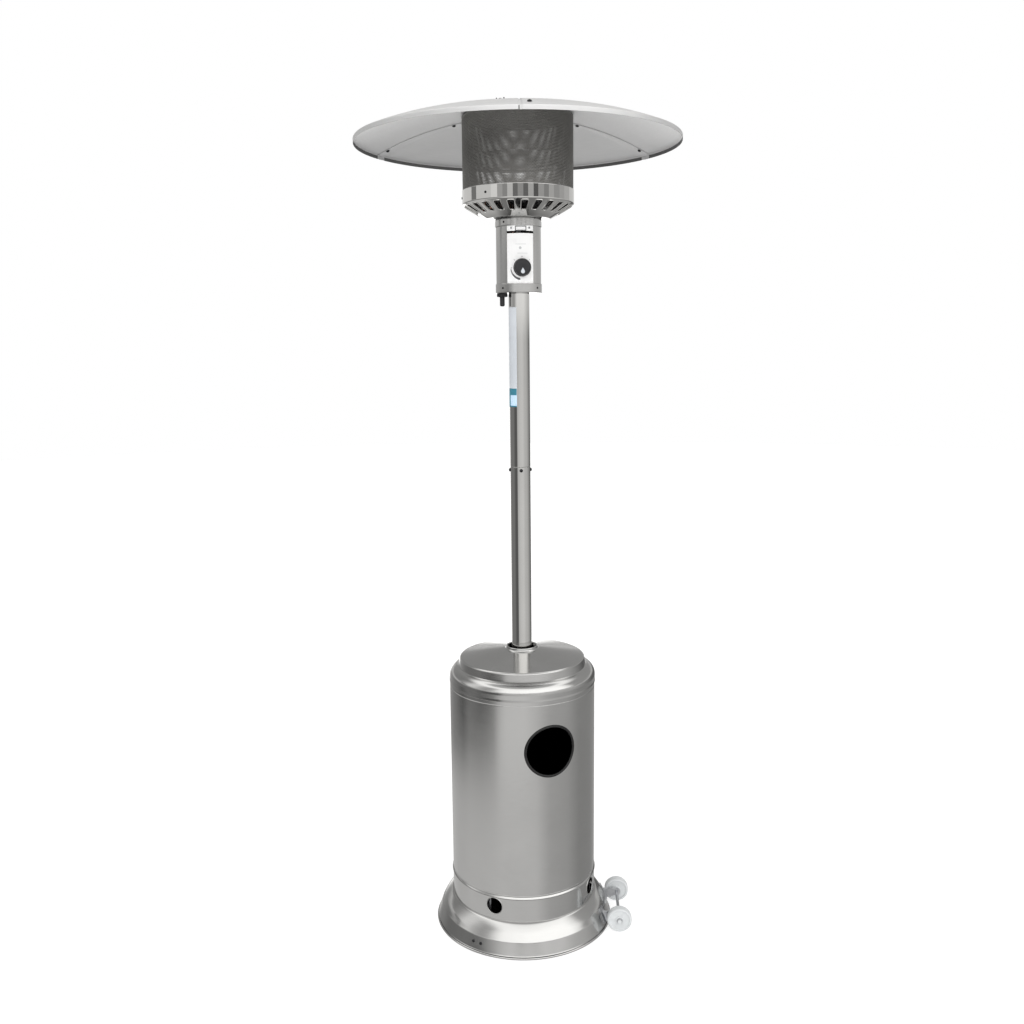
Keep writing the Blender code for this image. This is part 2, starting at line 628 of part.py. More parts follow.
def make_bowl():
    """Sheet with one opening in every slot's sector, thickened inward."""
    bm = bmesh.new()
    line = bowl_line()
    slot_row = 2
    pitch = 360 / SLOTS
    columns = []
    for number in range(SLOTS):
        middle = SLOT_AZ + pitch * number
        columns.append((middle - SLOT_WIDTH / 2, True))
        columns.append((middle + SLOT_WIDTH / 2, False))
    grid = [[bm.verts.new(polar(r, azimuth, z)) for r, z in line] for azimuth, _ in columns]
    for index, (_, is_slot) in enumerate(columns):
        here, there = grid[index], grid[(index + 1) % len(grid)]
        for row in range(len(line) - 1):
            if not (is_slot and row == slot_row):
                bm.faces.new((here[row], there[row], there[row + 1], here[row + 1]))
    mesh = bpy.data.meshes.new("burner_bowl")
    bm.to_mesh(mesh)
    bm.free()
    mesh.shade_smooth()
    mesh.set_sharp_from_angle(angle=radians(20))
    bowl = add_object("burner_bowl", mesh, POLISHED)
    wall = bowl.modifiers.new("Wall", "SOLIDIFY")
    wall.thickness = SHEET
    wall.offset = -1.0
    wall.use_even_offset = True


def make_burner():
    mixer = [(0.0125, 1.8000), (0.0138, 1.8000), (0.0138, 1.9020), (0.0125, 1.9020)]
    turned("mixer_tube", mixer, GALVANISED, SMALL)
    head_line = [
        (0.0145, 1.8950), (0.0700, 1.9100), (0.0750, 1.9145), (0.0750, 1.9280), (0, 1.9280),
        (0, 1.9268), (0.0738, 1.9268), (0.0738, 1.9151), (0.0694, 1.9112), (0.0145, 1.8963),
    ]
    turned("burner_head", head_line, GALVANISED, MID)

    pilot_az, thermocouple_az, electrode_az = -55, -73, -91
    lines = (
        ("pilot_tube", pilot_az, 0.0020, 1.9300),
        ("thermocouple", thermocouple_az, 0.0014, 1.9330),
    )
    for name, azimuth, radius, top in lines:
        route = [
            polar(PILOT_NECK, azimuth, VALVE_TOP), polar(PILOT_NECK, azimuth, 1.8860),
            polar(0.0600, azimuth, 1.8890), polar(PILOT_R, azimuth, 1.9000), polar(PILOT_R, azimuth, top),
        ]
        tube(name, route, radius, COPPER)
    hood = [(0, 1.9303), (0.0050, 1.9303), (0.0050, 1.9400), (0.0035, 1.9430), (0, 1.9430)]
    turned("pilot_burner", hood, BRASS, SMALL, Matrix.Translation(polar(PILOT_R, pilot_az)))

    rod = [
        (0, 1.9020), (0.0034, 1.9020), (0.0034, 1.9300), (0.0012, 1.9310), (0.0010, 1.9420), (0, 1.9420),
    ]
    turned("spark_electrode", rod, CERAMIC, SMALL, Matrix.Translation(polar(PILOT_R, electrode_az)))
    lead = [
        (IGNITER_X, 0, 1.7453), (IGNITER_X, 0, 1.8200), polar(PILOT_NECK, electrode_az, 1.8550),
        polar(PILOT_NECK, electrode_az, 1.8860), polar(0.0600, electrode_az, 1.8880),
        polar(PILOT_R, electrode_az, 1.8930), polar(PILOT_R, electrode_az, 1.9017),
    ]
    tube("ignition_lead", lead, 0.0013, LEAD_SLEEVE)


def make_emitter():
    screen = sleeve(SCREEN_R - HOUSING_SHEET, SCREEN_R, SCREEN_BOTTOM, SCREEN_TOP)
    turned("emitter_screen", screen, SCREEN_METAL, BIG)
    plate_top = SCREEN_TOP + GAP + SHEET
    cap = turned("emitter_cap", sleeve(0, SCREEN_R, SCREEN_TOP + GAP, plate_top), SCREEN_METAL, BIG)

    shoulder = dish_height(STUD_CIRCLE + STUD_SHOULDER_R) - SHEET - 3 * GAP
    overlap = SHEET / 2
    stud_line = [
        (0, plate_top - overlap), (STUD_SHOULDER_R, plate_top - overlap), (STUD_SHOULDER_R, shoulder),
        (STUD_R, shoulder), (STUD_R, STUD_TOP), (0, STUD_TOP),
    ]
    for number, azimuth in enumerate(STUD_AZ, 1):
        foot = Matrix.Translation(polar(STUD_CIRCLE, azimuth))
        boolean(cap, turned(f"cap_stud_{number}", stud_line, None, TINY, foot, helper=True), "UNION")


# ---------------------------------------------------------------- reflector
def dish_height(radius):
    """Height of the dish's top surface at a radius inside its lip."""
    return DISH_APEX - DISH_DROP * (radius / DISH_R) ** DISH_POWER


def dish_line():
    """The dish's outside from its centre hole to the foot of its lip, in (radius, height)."""
    radii = (DISH_HOLE, STUD_CIRCLE, SEAM_BOLT_R[0], 0.2500, 0.3200, SEAM_BOLT_R[1], DISH_R - 0.0015)
    top = [(r, dish_height(r)) for r in radii]
    return top + [(DISH_R, dish_height(DISH_R) - 0.0015), (DISH_R, LIP_BOTTOM)]


def dropped(line, depth):
    """The same line moved to its underside by that depth."""
    return walled(line, depth)[len(line):][::-1]


def petal(name, first, last, lap_first, lap_last):
    """One third of the dish. A lap is joggled down and runs on under the neighbour's edge."""
    top, below = dish_line(), dropped(dish_line(), LAP_DROP)
    start = first + LAP_SETBACK if lap_first else first
    stop = last - LAP_SETBACK if lap_last else last
    levels = {start: top, stop: top}
    if lap_first:
        levels.update({first - LAP: below, first - GAP_ANGLE: below, start - LAP_STEP: below})
    else:
        levels[first + LAP] = top
    if lap_last:
        levels.update({last + LAP: below, last + GAP_ANGLE: below, stop + LAP_STEP: below})
    else:
        levels[last - LAP] = top
    for step in range(int(first / COLUMN_PITCH), int(last / COLUMN_PITCH) + 1):
        if start + 1 < COLUMN_PITCH * step < stop - 1:
            levels[COLUMN_PITCH * step] = top
    columns = sorted(levels.items())

    bm = bmesh.new()
    outer, inner = [], []
    for angle, line in columns:
        outer.append([bm.verts.new(polar(r, angle, z)) for r, z in line])
        inner.append([bm.verts.new(polar(r, angle, z)) for r, z in dropped(line, SHEET)])
    rows = len(top)
    for grid in (outer, inner):
        for a, b in zip(grid, grid[1:]):
            for row in range(rows - 1):
                bm.faces.new((a[row], b[row], b[row + 1], a[row + 1]))
    for a, b, c, d in zip(outer, outer[1:], inner, inner[1:]):
        bm.faces.new((a[0], b[0], d[0], c[0]))
        bm.faces.new((a[-1], b[-1], d[-1], c[-1]))
    for a, c in ((outer[0], inner[0]), (outer[-1], inner[-1])):
        for row in range(rows - 1):
            bm.faces.new((a[row], a[row + 1], c[row + 1], c[row]))
    return finish_mesh(name, bm, DISH_METAL)


def make_reflector():
    left_seam, front_seam, right_seam = SEAM_AZ
    petals = [
        petal("reflector_petal_left", left_seam, front_seam, False, True),
        petal("reflector_petal_right", front_seam, right_seam, False, False),
        petal("reflector_petal_rear", right_seam, left_seam + 360, True, True),
    ]
    under = -(LAP_DROP + SHEET + GAP)
    bolt_line = [
        (0, 0.0045), (0.0024, 0.0045), (0.0024, under), (0.0048, under),
        (0.0042, under - 0.0022), (0.0020, under - 0.0034), (0, under - 0.0036),
    ]
    holes = []
    flap_edges = ((left_seam + LAP, -1), (front_seam + LAP, -1), (right_seam - LAP, 1))
    number = 0
    for flap_edge, back in flap_edges:
        for radius in SEAM_BOLT_R:
            number += 1
            azimuth = flap_edge + back * min(degrees(BOLT_FROM_EDGE / radius), LAP / 2)
            slope = atan2(dish_height(radius - 0.001) - dish_height(radius + 0.001), 0.002)
            place = Matrix.Translation(polar(radius, azimuth, dish_height(radius))) @ placed_at(azimuth)
            place = place @ Matrix.Rotation(slope, 4, "Y")
            turned(f"seam_bolt_{number}", bolt_line, DARK_SCREW, TINY, place)
            holes.append((place @ Vector((0, 0, -0.008)), place @ Vector((0, 0, 0.008))))
    cutter = bars("seam_bolt_cutter", holes, 0.0024 + GAP, facets=SMALL)
    stud_holes = [(polar(STUD_CIRCLE, a, 2.1200), polar(STUD_CIRCLE, a, 2.1400)) for a in STUD_AZ]
    stud_cutter = bars("stud_hole_cutter", stud_holes, STUD_R + GAP, facets=SMALL)
    for piece in petals:
        boolean(piece, cutter)
        boolean(piece, stud_cutter)

    base = dish_height(STUD_CIRCLE) + 2 * GAP
    hub = [(STUD_R + GAP, 0.0006), (0.0068, 0.0006), (0.0052, 0.0075), (STUD_R + GAP, 0.0075)]
    wing = [
        (0.0045, 0.0012), (0.0070, 0.0030), (0.0112, 0.0120), (0.0104, 0.0150),
        (0.0082, 0.0155), (0.0044, 0.0070),
    ]
    for number, azimuth in enumerate(STUD_AZ, 1):
        place = Matrix.Translation(polar(STUD_CIRCLE, azimuth, base)) @ placed_at(azimuth)
        nut = turned(f"wing_nut_{number}", hub, DARK_SCREW, SMALL, place)
        for side in (-1, 1):
            wing_place = place @ Matrix.Rotation(radians(90 * side), 4, "Z")
            blade = extruded(
                f"wing_nut_{number}_blade_{side}", wing, 0.0018, None, wing_place, helper=True,
            )
            boolean(nut, blade, "UNION")


def build():
    make_base()
    make_legs()
    make_post()
    make_housing()
    make_wheels()
    make_head_casing()
    make_valve()
    make_igniter()
    make_bowl()
    make_burner()
    make_emitter()
    make_reflector()


build()
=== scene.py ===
"""Looks of the patio heater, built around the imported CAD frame.

Metres, +Z up, in the frame's own axes. The post's axis is the Z axis and the controls face -Y.
An azimuth is measured about +Z from -Y towards +X, in degrees.
"""

import json
from math import asin, atan2, cos, degrees, pi, radians, sin, sqrt, tan, tau

import bmesh
import bpy
from mathutils import Matrix, Vector


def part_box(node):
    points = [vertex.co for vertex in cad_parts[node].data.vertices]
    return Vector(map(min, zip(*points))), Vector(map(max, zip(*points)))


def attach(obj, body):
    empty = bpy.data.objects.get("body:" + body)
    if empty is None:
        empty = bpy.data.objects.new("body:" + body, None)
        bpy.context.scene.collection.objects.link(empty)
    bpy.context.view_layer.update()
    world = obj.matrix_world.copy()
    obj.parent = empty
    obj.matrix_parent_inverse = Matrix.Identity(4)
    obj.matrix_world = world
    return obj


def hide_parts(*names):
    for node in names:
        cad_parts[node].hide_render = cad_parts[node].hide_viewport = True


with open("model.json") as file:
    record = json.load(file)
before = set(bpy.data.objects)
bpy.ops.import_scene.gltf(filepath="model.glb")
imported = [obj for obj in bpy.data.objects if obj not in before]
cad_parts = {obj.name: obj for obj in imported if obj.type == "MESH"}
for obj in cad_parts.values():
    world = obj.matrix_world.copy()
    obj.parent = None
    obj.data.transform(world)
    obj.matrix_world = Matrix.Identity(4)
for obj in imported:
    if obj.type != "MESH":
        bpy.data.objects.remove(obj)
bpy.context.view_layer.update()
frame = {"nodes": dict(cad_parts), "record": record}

RECORD = frame["record"]
SLOT_OF = {part["node"]: part["material_slot"] for part in RECORD["subparts"]}
BODY_OF = {node: body for body, nodes in RECORD["behaviour"]["bodies"].items() for node in nodes}


def low(node):
    """Lowest corner of a CAD node."""
    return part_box(node)[0]


def high(node):
    """Highest corner of a CAD node."""
    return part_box(node)[1]


def centre(node):
    """Middle of a CAD node's box."""
    return (low(node) + high(node)) / 2


# ---------------------------------------------------------------- sizes, from the frame where it has them
WIDE, MIDDLE, FINE, SMALL = 192, 96, 48, 24  # facets round turned pieces, by size
ON_AXIS = 1e-6  # a radius below this is on the axis
SHEET = 0.0010
HOUSING_SHEET = 0.0008

BASE_R = high("base_skirt").x
PAN_TOP = high("base_pan").z
SKIRT_FOOT = low("base_skirt").z
COLLAR_R = 0.1950
HEM_TOP, FLARE_CREASE = (0.2358, 0.0148), (0.2268, 0.0415)
SKIRT_SCREW_Z = 0.0255
HOUSING_R = high("housing_cylinder").x
HOUSING_BOTTOM, HOUSING_TOP = low("housing_cylinder").z, high("housing_cylinder").z
COLLAR_TOP = HOUSING_BOTTOM - 0.0003
VENT_R, VENT_Z, VENT_AZ = 0.0225, 0.1180, -28.5
HAND_R, HAND_Z, HAND_AZ = 0.0700, 0.5430, 17.0

POST_R = high("upper_post").x
POST_WALL = 0.0012
POST_SEAM = high("lower_post").z
POST_SCREW_Z = centre("post_screw_1").z
FILM = 0.00015

HEAD_R = high("head_shell").x
BAND_R = high("head_base").x
HEAD_BOTTOM = low("head_base").z
HEAD_TOP = high("head_shell").z
LOWER_BAND_TOP = 1.7195
LOWER_SCREW_Z, STRIP_SCREW_Z, RING_SCREW_Z = 1.7085, 1.8535, 1.9310
PANEL_HALF_ANGLE = 35.0
KNOB_X, KNOB_Z = centre("control_knob").x, centre("control_knob").z
KNOB_BACK, KNOB_FACE = -high("control_knob").y, -low("control_knob").y
KNOB_R = high("control_knob").x - KNOB_X
DIAL_R = 0.0282
PRINT_BACK, PRINT_THICK = HEAD_R + 0.00005, 0.0001
WINDOW_Z = (1.8480, 1.8562)
IGNITER_X, IGNITER_BORE = centre("igniter_nut").x, 0.0091

BOWL_FLAT_R, BOWL_FLAT_Z = 0.0800, low("burner_bowl").z
RING_R, RING_BOTTOM, RING_TOP = high("burner_bowl").x, 1.9140, high("burner_bowl").z
RING_SCREW_AZ = (-39.0, -91.0, 121.0, 201.0)
BOWL_SCREW_R, BOWL_SCREW_AZ = 0.0700, (-62.0, -40.0, 48.0, 140.0, 220.0)
SLOTS, SLOT_AZ = 24, 2.3
SLOT_INNER, SLOT_OUTER, SLOT_ANGLE = 0.0990, 0.1375, 8.0

SCREEN_R = high("emitter_screen").x
SCREEN_BOTTOM, SCREEN_TOP = low("emitter_screen").z, high("emitter_screen").z
STUD_CIRCLE, STUD_AZ = 0.1300, (-23.0, 97.0, 217.0)

DISH_R, DISH_APEX, DISH_DROP, DISH_POWER = high("reflector_petal_right").x, 2.1325, 0.0645, 2.6
LIP_BOTTOM = low("reflector_petal_right").z
DISH_HOLE = 0.0080
SEAM_AZ = (-122.0, -3.5, 118.0)
LAP, LAP_SETBACK, LAP_STEP, LAP_DROP = 3.4, 1.4, 0.6, 0.0015
SEAM_BOLT_R = (0.1800, 0.3780)

WHEEL_AZ, AXLE_SHIFT = 82.8, -0.0120
LEG_AZ = (WHEEL_AZ - 120, WHEEL_AZ, WHEEL_AZ + 120)
AXLE_R, AXLE_RADIUS, AXLE_Z = 0.0040, 0.2610, 0.0340
WHEEL_R, WHEEL_WIDTH, WHEEL_OFFSET, ARM_OFFSET = 0.0330, 0.0240, 0.0796, 0.0615
ARM_SHEET = 0.0030


# ---------------------------------------------------------------- placing
def polar(radius, azimuth, z=0.0):
    """A point at that radius and azimuth."""
    return Vector((radius * sin(radians(azimuth)), -radius * cos(radians(azimuth)), z))


def circle(count, radius):
    """Points spaced evenly round a circle in a plane."""
    return [(radius * sin(tau * step / count), radius * cos(tau * step / count)) for step in range(count)]


def placed_at(azimuth):
    """Local +X points outward at that azimuth, local +Y along the tangent, local +Z up."""
    return Matrix.Rotation(radians(azimuth - 90), 4, "Z")


def upright(radius, azimuth, z, lean=0.0):
    """Local +X points outward at that place and leans down by an angle in radians."""
    return Matrix.Translation(polar(radius, azimuth, z)) @ placed_at(azimuth) @ Matrix.Rotation(lean, 4, "Y")


def facing_out(radius, azimuth, z):
    """Local +Z points outward from the post's axis at that place, and local +X points down."""
    return upright(radius, azimuth, z, pi / 2)


# ---------------------------------------------------------------- outlines, in (radius, height)
def arc(middle, radius, first, last, steps):
    """Points of an arc, between two angles in degrees."""
    turns = [radians(first + (last - first) * step / steps) for step in range(steps + 1)]
    return [(middle[0] + radius * cos(turn), middle[1] + radius * sin(turn)) for turn in turns]


def curve_through(points, steps=6):
    """A smooth Catmull-Rom curve through the points of an open line."""
    points = [Vector(point) for point in points]
    padded = [2 * points[0] - points[1], *points, 2 * points[-1] - points[-2]]
    line = []
    for a, b, c, d in zip(padded, padded[1:], padded[2:], padded[3:]):
        for step in range(steps):
            t = step / steps
            line.append(0.5 * (2 * b + (c - a) * t + (2 * a - 5 * b + 4 * c - d) * t ** 2
                               + (3 * b - a - 3 * c + d) * t ** 3))
    return [tuple(point) for point in line] + [tuple(points[-1])]


def softened(outline, reach, steps=3, closed=True, turned_later=True):
    """Rounds the corners of an outline by short bends. Points on the axis stay if it is turned later."""
    points = [Vector(point) for point in outline]
    line = []
    for index, corner in enumerate(points):
        at_end = not closed and index in (0, len(points) - 1)
        if at_end or turned_later and corner.x < ON_AXIS:
            line.append(tuple(corner))
            continue
        back, on = points[index - 1] - corner, points[(index + 1) % len(points)] - corner
        enter = corner + back.normalized() * min(reach, back.length * 0.45)
        leave = corner + on.normalized() * min(reach, on.length * 0.45)
        for step in range(steps + 1):
            t = step / steps
            line.append(tuple(enter.lerp(corner, t).lerp(corner.lerp(leave, t), t)))
    return line


def shifted(line, distance):
    """The open line moved sideways, to the right of its run."""
    beside = []
    for index, point in enumerate(line):
        sides = []
        for a, b in ((index - 1, index), (index, index + 1)):
            if a >= 0 and b < len(line):
                run = (Vector(line[b]) - Vector(line[a])).normalized()
                sides.append(Vector((run.y, -run.x)))
        side = (sides[0] + sides[-1]).normalized()
        beside.append(tuple(Vector(point) + side * (distance / side.dot(sides[0]))))
    return beside


def walled(line, thickness):
    """Closes an open line into a wall, thickened to the right of its run."""
    return list(line) + shifted(line, thickness)[::-1]


def strap(line, half_thickness):
    """Closes an open line into a wall, thickened to both sides."""
    return shifted(line, half_thickness) + shifted(line, -half_thickness)[::-1]


def plain_ring(inner, outer, bottom, top):
    """The outline of a ring without details."""
    return [(inner, bottom), (outer, bottom), (outer, top), (inner, top)]


# ---------------------------------------------------------------- meshes
def smooth(mesh, angle=32.0):
    """Shades a mesh smooth, apart from its sharp edges."""
    mesh.shade_smooth()
    mesh.set_sharp_from_angle(angle=radians(angle))
    return mesh


def moved(mesh, matrix):
    """A copy of a mesh at that place."""
    copy = mesh.copy()
    copy.transform(matrix)
    return copy


def mesh_of(bm, matrix=None, angle=32.0):
    """Turns a bmesh into a mesh whose faces point out."""
    if matrix:
        bmesh.ops.transform(bm, matrix=matrix, verts=bm.verts)
    bmesh.ops.recalc_face_normals(bm, faces=bm.faces)
    mesh = bpy.data.meshes.new("mesh")
    bm.to_mesh(mesh)
    bm.free()
    return smooth(mesh, angle)


def held(outline, reach=0.0012):
    """A closed outline with points close to the ends of its long edges, which keep their shading flat."""
    line = []
    for index, corner in enumerate(outline):
        start, end = Vector(corner), Vector(outline[(index + 1) % len(outline)])
        run = end - start
        line.append(tuple(start))
        if run.length > 4 * reach and min(start.x, end.x) > reach:
            step = run.normalized() * reach
            line += [tuple(start + step), tuple(end - step)]
    return line


def turned(outline, segments, matrix=None, start=0.0, sweep=360.0):
    """The closed outline turned about Z from that azimuth."""
    outline = held(outline)
    bm = bmesh.new()
    full = sweep >= 360.0
    steps = segments if full else segments + 1
    rings = []
    for step in range(steps):
        azimuth = start + sweep * step / segments
        ring = []
        for index, (radius, height) in enumerate(outline):
            on_axis = radius < ON_AXIS and full and step
            ring.append(rings[0][index] if on_axis else bm.verts.new(polar(radius, azimuth, height)))
        rings.append(ring)
    count = len(outline)
    for step in range(segments):
        here, there = rings[step], rings[(step + 1) % steps]
        for index in range(count):
            after = (index + 1) % count
            corners = list(dict.fromkeys([here[index], here[after], there[after], there[index]]))
            if len(corners) > 2:
                bm.faces.new(corners)
    if not full:
        bm.faces.new(rings[0])
        bm.faces.new(rings[-1])
    return mesh_of(bm, matrix)


def extruded(outline, depth, matrix=None, bevel=0.0):
    """A flat outline in local X and Z, extruded evenly to both sides along local Y."""
    bm = bmesh.new()
    bm.faces.new([bm.verts.new((x, -depth / 2, z)) for x, z in outline])
    made = bmesh.ops.extrude_face_region(bm, geom=bm.faces[:])
    far = [item for item in made["geom"] if isinstance(item, bmesh.types.BMVert)]
    bmesh.ops.translate(bm, vec=(0, depth, 0), verts=far)
    bmesh.ops.recalc_face_normals(bm, faces=bm.faces)
    if bevel:
        sharp = [edge for edge in bm.edges if edge.calc_face_angle() > radians(40)]
        bmesh.ops.bevel(bm, geom=sharp, offset=bevel, segments=2, affect="EDGES", profile=0.5)
    return mesh_of(bm, matrix)


def bars(ends, radius, segments=FINE):
    """Separate round bars between pairs of points, in one mesh."""
    bm = bmesh.new()
    for start, end in ends:
        run = Vector(end) - Vector(start)
        place = Matrix.Translation((Vector(start) + Vector(end)) / 2)
        place = place @ run.to_track_quat("Z", "Y").to_matrix().to_4x4()
        bmesh.ops.create_cone(bm, cap_ends=True, segments=segments, radius1=radius, radius2=radius,
                              depth=run.length, matrix=place)
    return mesh_of(bm)


def sector(outline, segments, first, last):
    """The closed outline turned about Z between two azimuths."""
    return turned(outline, segments, None, first, last - first)


def bent_sheet(inner, outer, bottom, top, segments, first, last):
    """Sheet metal with soft edges, bent about Z between two azimuths."""
    return sector(softened(plain_ring(inner, outer, bottom, top), 0.0003), segments, first, last)


def joined(meshes):
    """Several meshes in one, as separate shells."""
    bm = bmesh.new()
    for mesh in meshes:
        bm.from_mesh(mesh)
    return mesh_of(bm)


def swept(points, outward, section, closed=True):
    """A section, in (outward, across), carried along the points, with an outward direction at each."""
    bm = bmesh.new()
    count = len(points)
    rings = []
    for index, (point, out) in enumerate(zip(points, outward)):
        before = points[index - 1] if closed or index else point
        after = points[(index + 1) % count] if closed or index < count - 1 else point
        along = (after - before).normalized()
        across = along.cross(out).normalized()
        out = across.cross(along).normalized()
        rings.append([bm.verts.new(point + out * u + across * v) for u, v in section])
    for index in range(count if closed else count - 1):
        here, there = rings[index], rings[(index + 1) % count]
        for side in range(len(section)):
            other = (side + 1) % len(section)
            bm.faces.new((here[side], here[other], there[other], there[side]))
    if not closed:
        bm.faces.new(rings[0])
        bm.faces.new(rings[-1])
    return mesh_of(bm)


def round_section(radius, sides=12, flat=1.0):
    """A round or flattened section for swept()."""
    turns = [tau * side / sides for side in range(sides)]
    return [(radius * flat * cos(turn), radius * sin(turn)) for turn in turns]


def new_object(name, data):
    """A new object in the scene."""
    made = bpy.data.objects.new(name, data)
    bpy.context.scene.collection.objects.link(made)
    return made


def carved(mesh, cutter, operation="DIFFERENCE", angle=32.0):
    """The mesh with a cutter taken from it, or united with it."""
    piece, helper = new_object("working", mesh), new_object("working", cutter)
    step = piece.modifiers.new("Cut", "BOOLEAN")
    step.operation, step.solver, step.object = operation, "EXACT", helper
    evaluated = piece.evaluated_get(bpy.context.evaluated_depsgraph_get())
    result = bpy.data.meshes.new_from_object(evaluated)
    for item in (piece, helper):
        bpy.data.objects.remove(item)
    return smooth(result, angle)


# ---------------------------------------------------------------- material nodes
def node(tree, kind, inputs=None, **settings):
    """Adds a shader node. An input is a number, a colour or another node's output."""
    made = tree.nodes.new("ShaderNode" + kind)
    for name, value in settings.items():
        setattr(made, name, value)
    for name, value in (inputs or {}).items():
        if isinstance(value, bpy.types.NodeSocket):
            tree.links.new(value, made.inputs[name])
        else:
            made.inputs[name].default_value = value
    return made


def calc(tree, operation, *values):
    """A Math node's result."""
    return node(tree, "Math", dict(enumerate(values)), operation=operation).outputs[0]


def spread(tree, value, low_value, high_value):
    """Maps a value of about 0.3 to 0.7, as noise gives, to that range."""
    made = node(tree, "MapRange", {
        "Value": value, "From Min": 0.3, "From Max": 0.7, "To Min": low_value, "To Max": high_value,
    })
    return made.outputs["Result"]


def tinted(tree, value, dark, light):
    """A colour between two, chosen by a value from 0 to 1."""
    made = node(tree, "ValToRGB", {"Fac": value})
    made.color_ramp.elements[0].color = (*dark, 1.0)
    made.color_ramp.elements[1].color = (*light, 1.0)
    return made.outputs["Color"]


def noise(tree, vector, scale, detail=2.0, roughness=0.5):
    """Fractal noise from 0 to 1."""
    made = node(tree, "TexNoise", {
        "Vector": vector, "Scale": scale, "Detail": detail, "Roughness": roughness,
    })
    return made.outputs["Fac"]


def object_point(tree):
    """Position in the frame, at rest."""
    return node(tree, "TexCoord").outputs["Object"]


def axes(tree):
    """The coordinates of the position in the frame, at rest."""
    split = node(tree, "SeparateXYZ", {"Vector": object_point(tree)})
    return [split.outputs[axis] for axis in "XYZ"]


def from_axis(tree, x, y):
    """Distance from the post's axis."""
    squares = [calc(tree, "MULTIPLY", value, value) for value in (x, y)]
    return calc(tree, "SQRT", calc(tree, "ADD", *squares))


def ring_point(tree, fine, along):
    """Coordinates that change fast across rings about the post's axis, and slowly along them."""
    x, y, z = axes(tree)
    parts = [(from_axis(tree, x, y), fine), (calc(tree, "ARCTAN2", x, y), along), (z, fine)]
    scaled = [calc(tree, "MULTIPLY", value, scale) for value, scale in parts]
    return node(tree, "CombineXYZ", dict(enumerate(scaled))).outputs[0]


def finish(name, roughness, metallic, colour=None, **sockets):
    """A new Principled material, its node tree and its shader."""
    made = bpy.data.materials.new(name)
    made.use_nodes = True
    shader = made.node_tree.nodes["Principled BSDF"]
    shader.inputs["Metallic"].default_value = metallic
    shader.inputs["Roughness"].default_value = roughness
    if colour:
        shader.inputs["Base Color"].default_value = (*colour, 1.0)
    for socket, value in sockets.items():
        shader.inputs[socket.replace("_", " ")].default_value = value
    return made, made.node_tree, shader


def wire(tree, shader, colour=None, roughness=None, height=None, strength=0.1, distance=0.0002):
    """Connects a material's patterns to its shader."""
    if colour:
        tree.links.new(colour, shader.inputs["Base Color"])
    if roughness:
        tree.links.new(roughness, shader.inputs["Roughness"])
    if height:
        bump = node(tree, "Bump", {"Height": height, "Strength": strength, "Distance": distance})
        tree.links.new(bump.outputs["Normal"], shader.inputs["Normal"])


def ring_metal(name, dark, light, smoothest, roughest, fine=900.0, strength=0.10, wave=0.0,
               shade=None, metallic=1.0):
    """Sheet metal with fine marks that run round the post's axis, smudges, and a slight waviness."""
    made, tree, shader = finish(name, smoothest, metallic)
    lines = noise(tree, ring_point(tree, fine, 7.0), 1.0, 3.0, 0.65)
    smudge = noise(tree, object_point(tree), 14.0, 3.0)
    both = calc(tree, "MULTIPLY_ADD", smudge, 0.45, calc(tree, "MULTIPLY", lines, 0.55))
    height = lines
    if wave:
        bulge = noise(tree, ring_point(tree, 9.0, 3.0), 1.0, 1.0)
        height = calc(tree, "MULTIPLY_ADD", bulge, wave, lines)
    colour = tinted(tree, spread(tree, both, 0.0, 1.0), dark, light)
    # A shade scales the colour down: painted shade inside the housing and on the reflector's lip, and a
    # darker polish near the bowl's neck.
    if shade:
        colour = node(tree, "VectorMath", {0: colour, "Scale": shade(tree)},
                      operation="SCALE").outputs["Vector"]
    wire(tree, shader, colour, spread(tree, both, smoothest, roughest), height, strength)
    return made


def radius_and_height(tree):
    """Distance from the post's axis, and height."""
    x, y, z = axes(tree)
    return from_axis(tree, x, y), z


def lip_shade(tree):
    """Low on the inner face of the reflector's lip, as painted shade for the darker reflection seen there,
    and 1 elsewhere.
    """
    radius, z = radius_and_height(tree)
    inner_face = calc(tree, "COMPARE", radius, DISH_R - SHEET, SHEET / 2)
    under_edge = calc(tree, "LESS_THAN", z, LIP_BOTTOM + 0.0085)
    return calc(tree, "MULTIPLY_ADD", calc(tree, "MULTIPLY", inner_face, under_edge), -0.75, 1.0)


def neck_shade(tree):
    """Lower near the bowl's neck, which makes the polish there darker, and 1 further out and on the post."""
    radius, z = radius_and_height(tree)
    made = node(tree, "MapRange", {
        "Value": radius, "From Min": 0.0860, "From Max": 0.1060, "To Min": -0.35, "To Max": 0.0,
    })
    on_bowl = calc(tree, "GREATER_THAN", z, BOWL_FLAT_Z - 0.0020)
    return calc(tree, "MULTIPLY_ADD", made.outputs["Result"], on_bowl, 1.0)


def inside_shade(tree):
    """1 outside the housing, and low on its sheet's inner face: painted shade of the unlit inside."""
    radius, z = radius_and_height(tree)
    within = calc(tree, "LESS_THAN", radius, HOUSING_R - HOUSING_SHEET / 2)
    under_lid = calc(tree, "LESS_THAN", z, HOUSING_TOP - 0.0100)
    return calc(tree, "MULTIPLY_ADD", calc(tree, "MULTIPLY", within, under_lid), -0.94, 1.0)


def even(name, dark, light, smoothest, roughest, metallic=0.0, mottle=(22.0, 3.0), grain=1400.0,
         strength=0.08, **sockets):
    """Plastic, film or cast metal with a slightly mottled skin and a fine grain."""
    made, tree, shader = finish(name, smoothest, metallic, **sockets)
    skin = noise(tree, object_point(tree), *mottle)
    grit = noise(tree, object_point(tree), grain, 2.0)
    wire(tree, shader, tinted(tree, spread(tree, skin, 0.0, 1.0), dark, light),
         spread(tree, skin, smoothest, roughest), grit, strength)
    return made


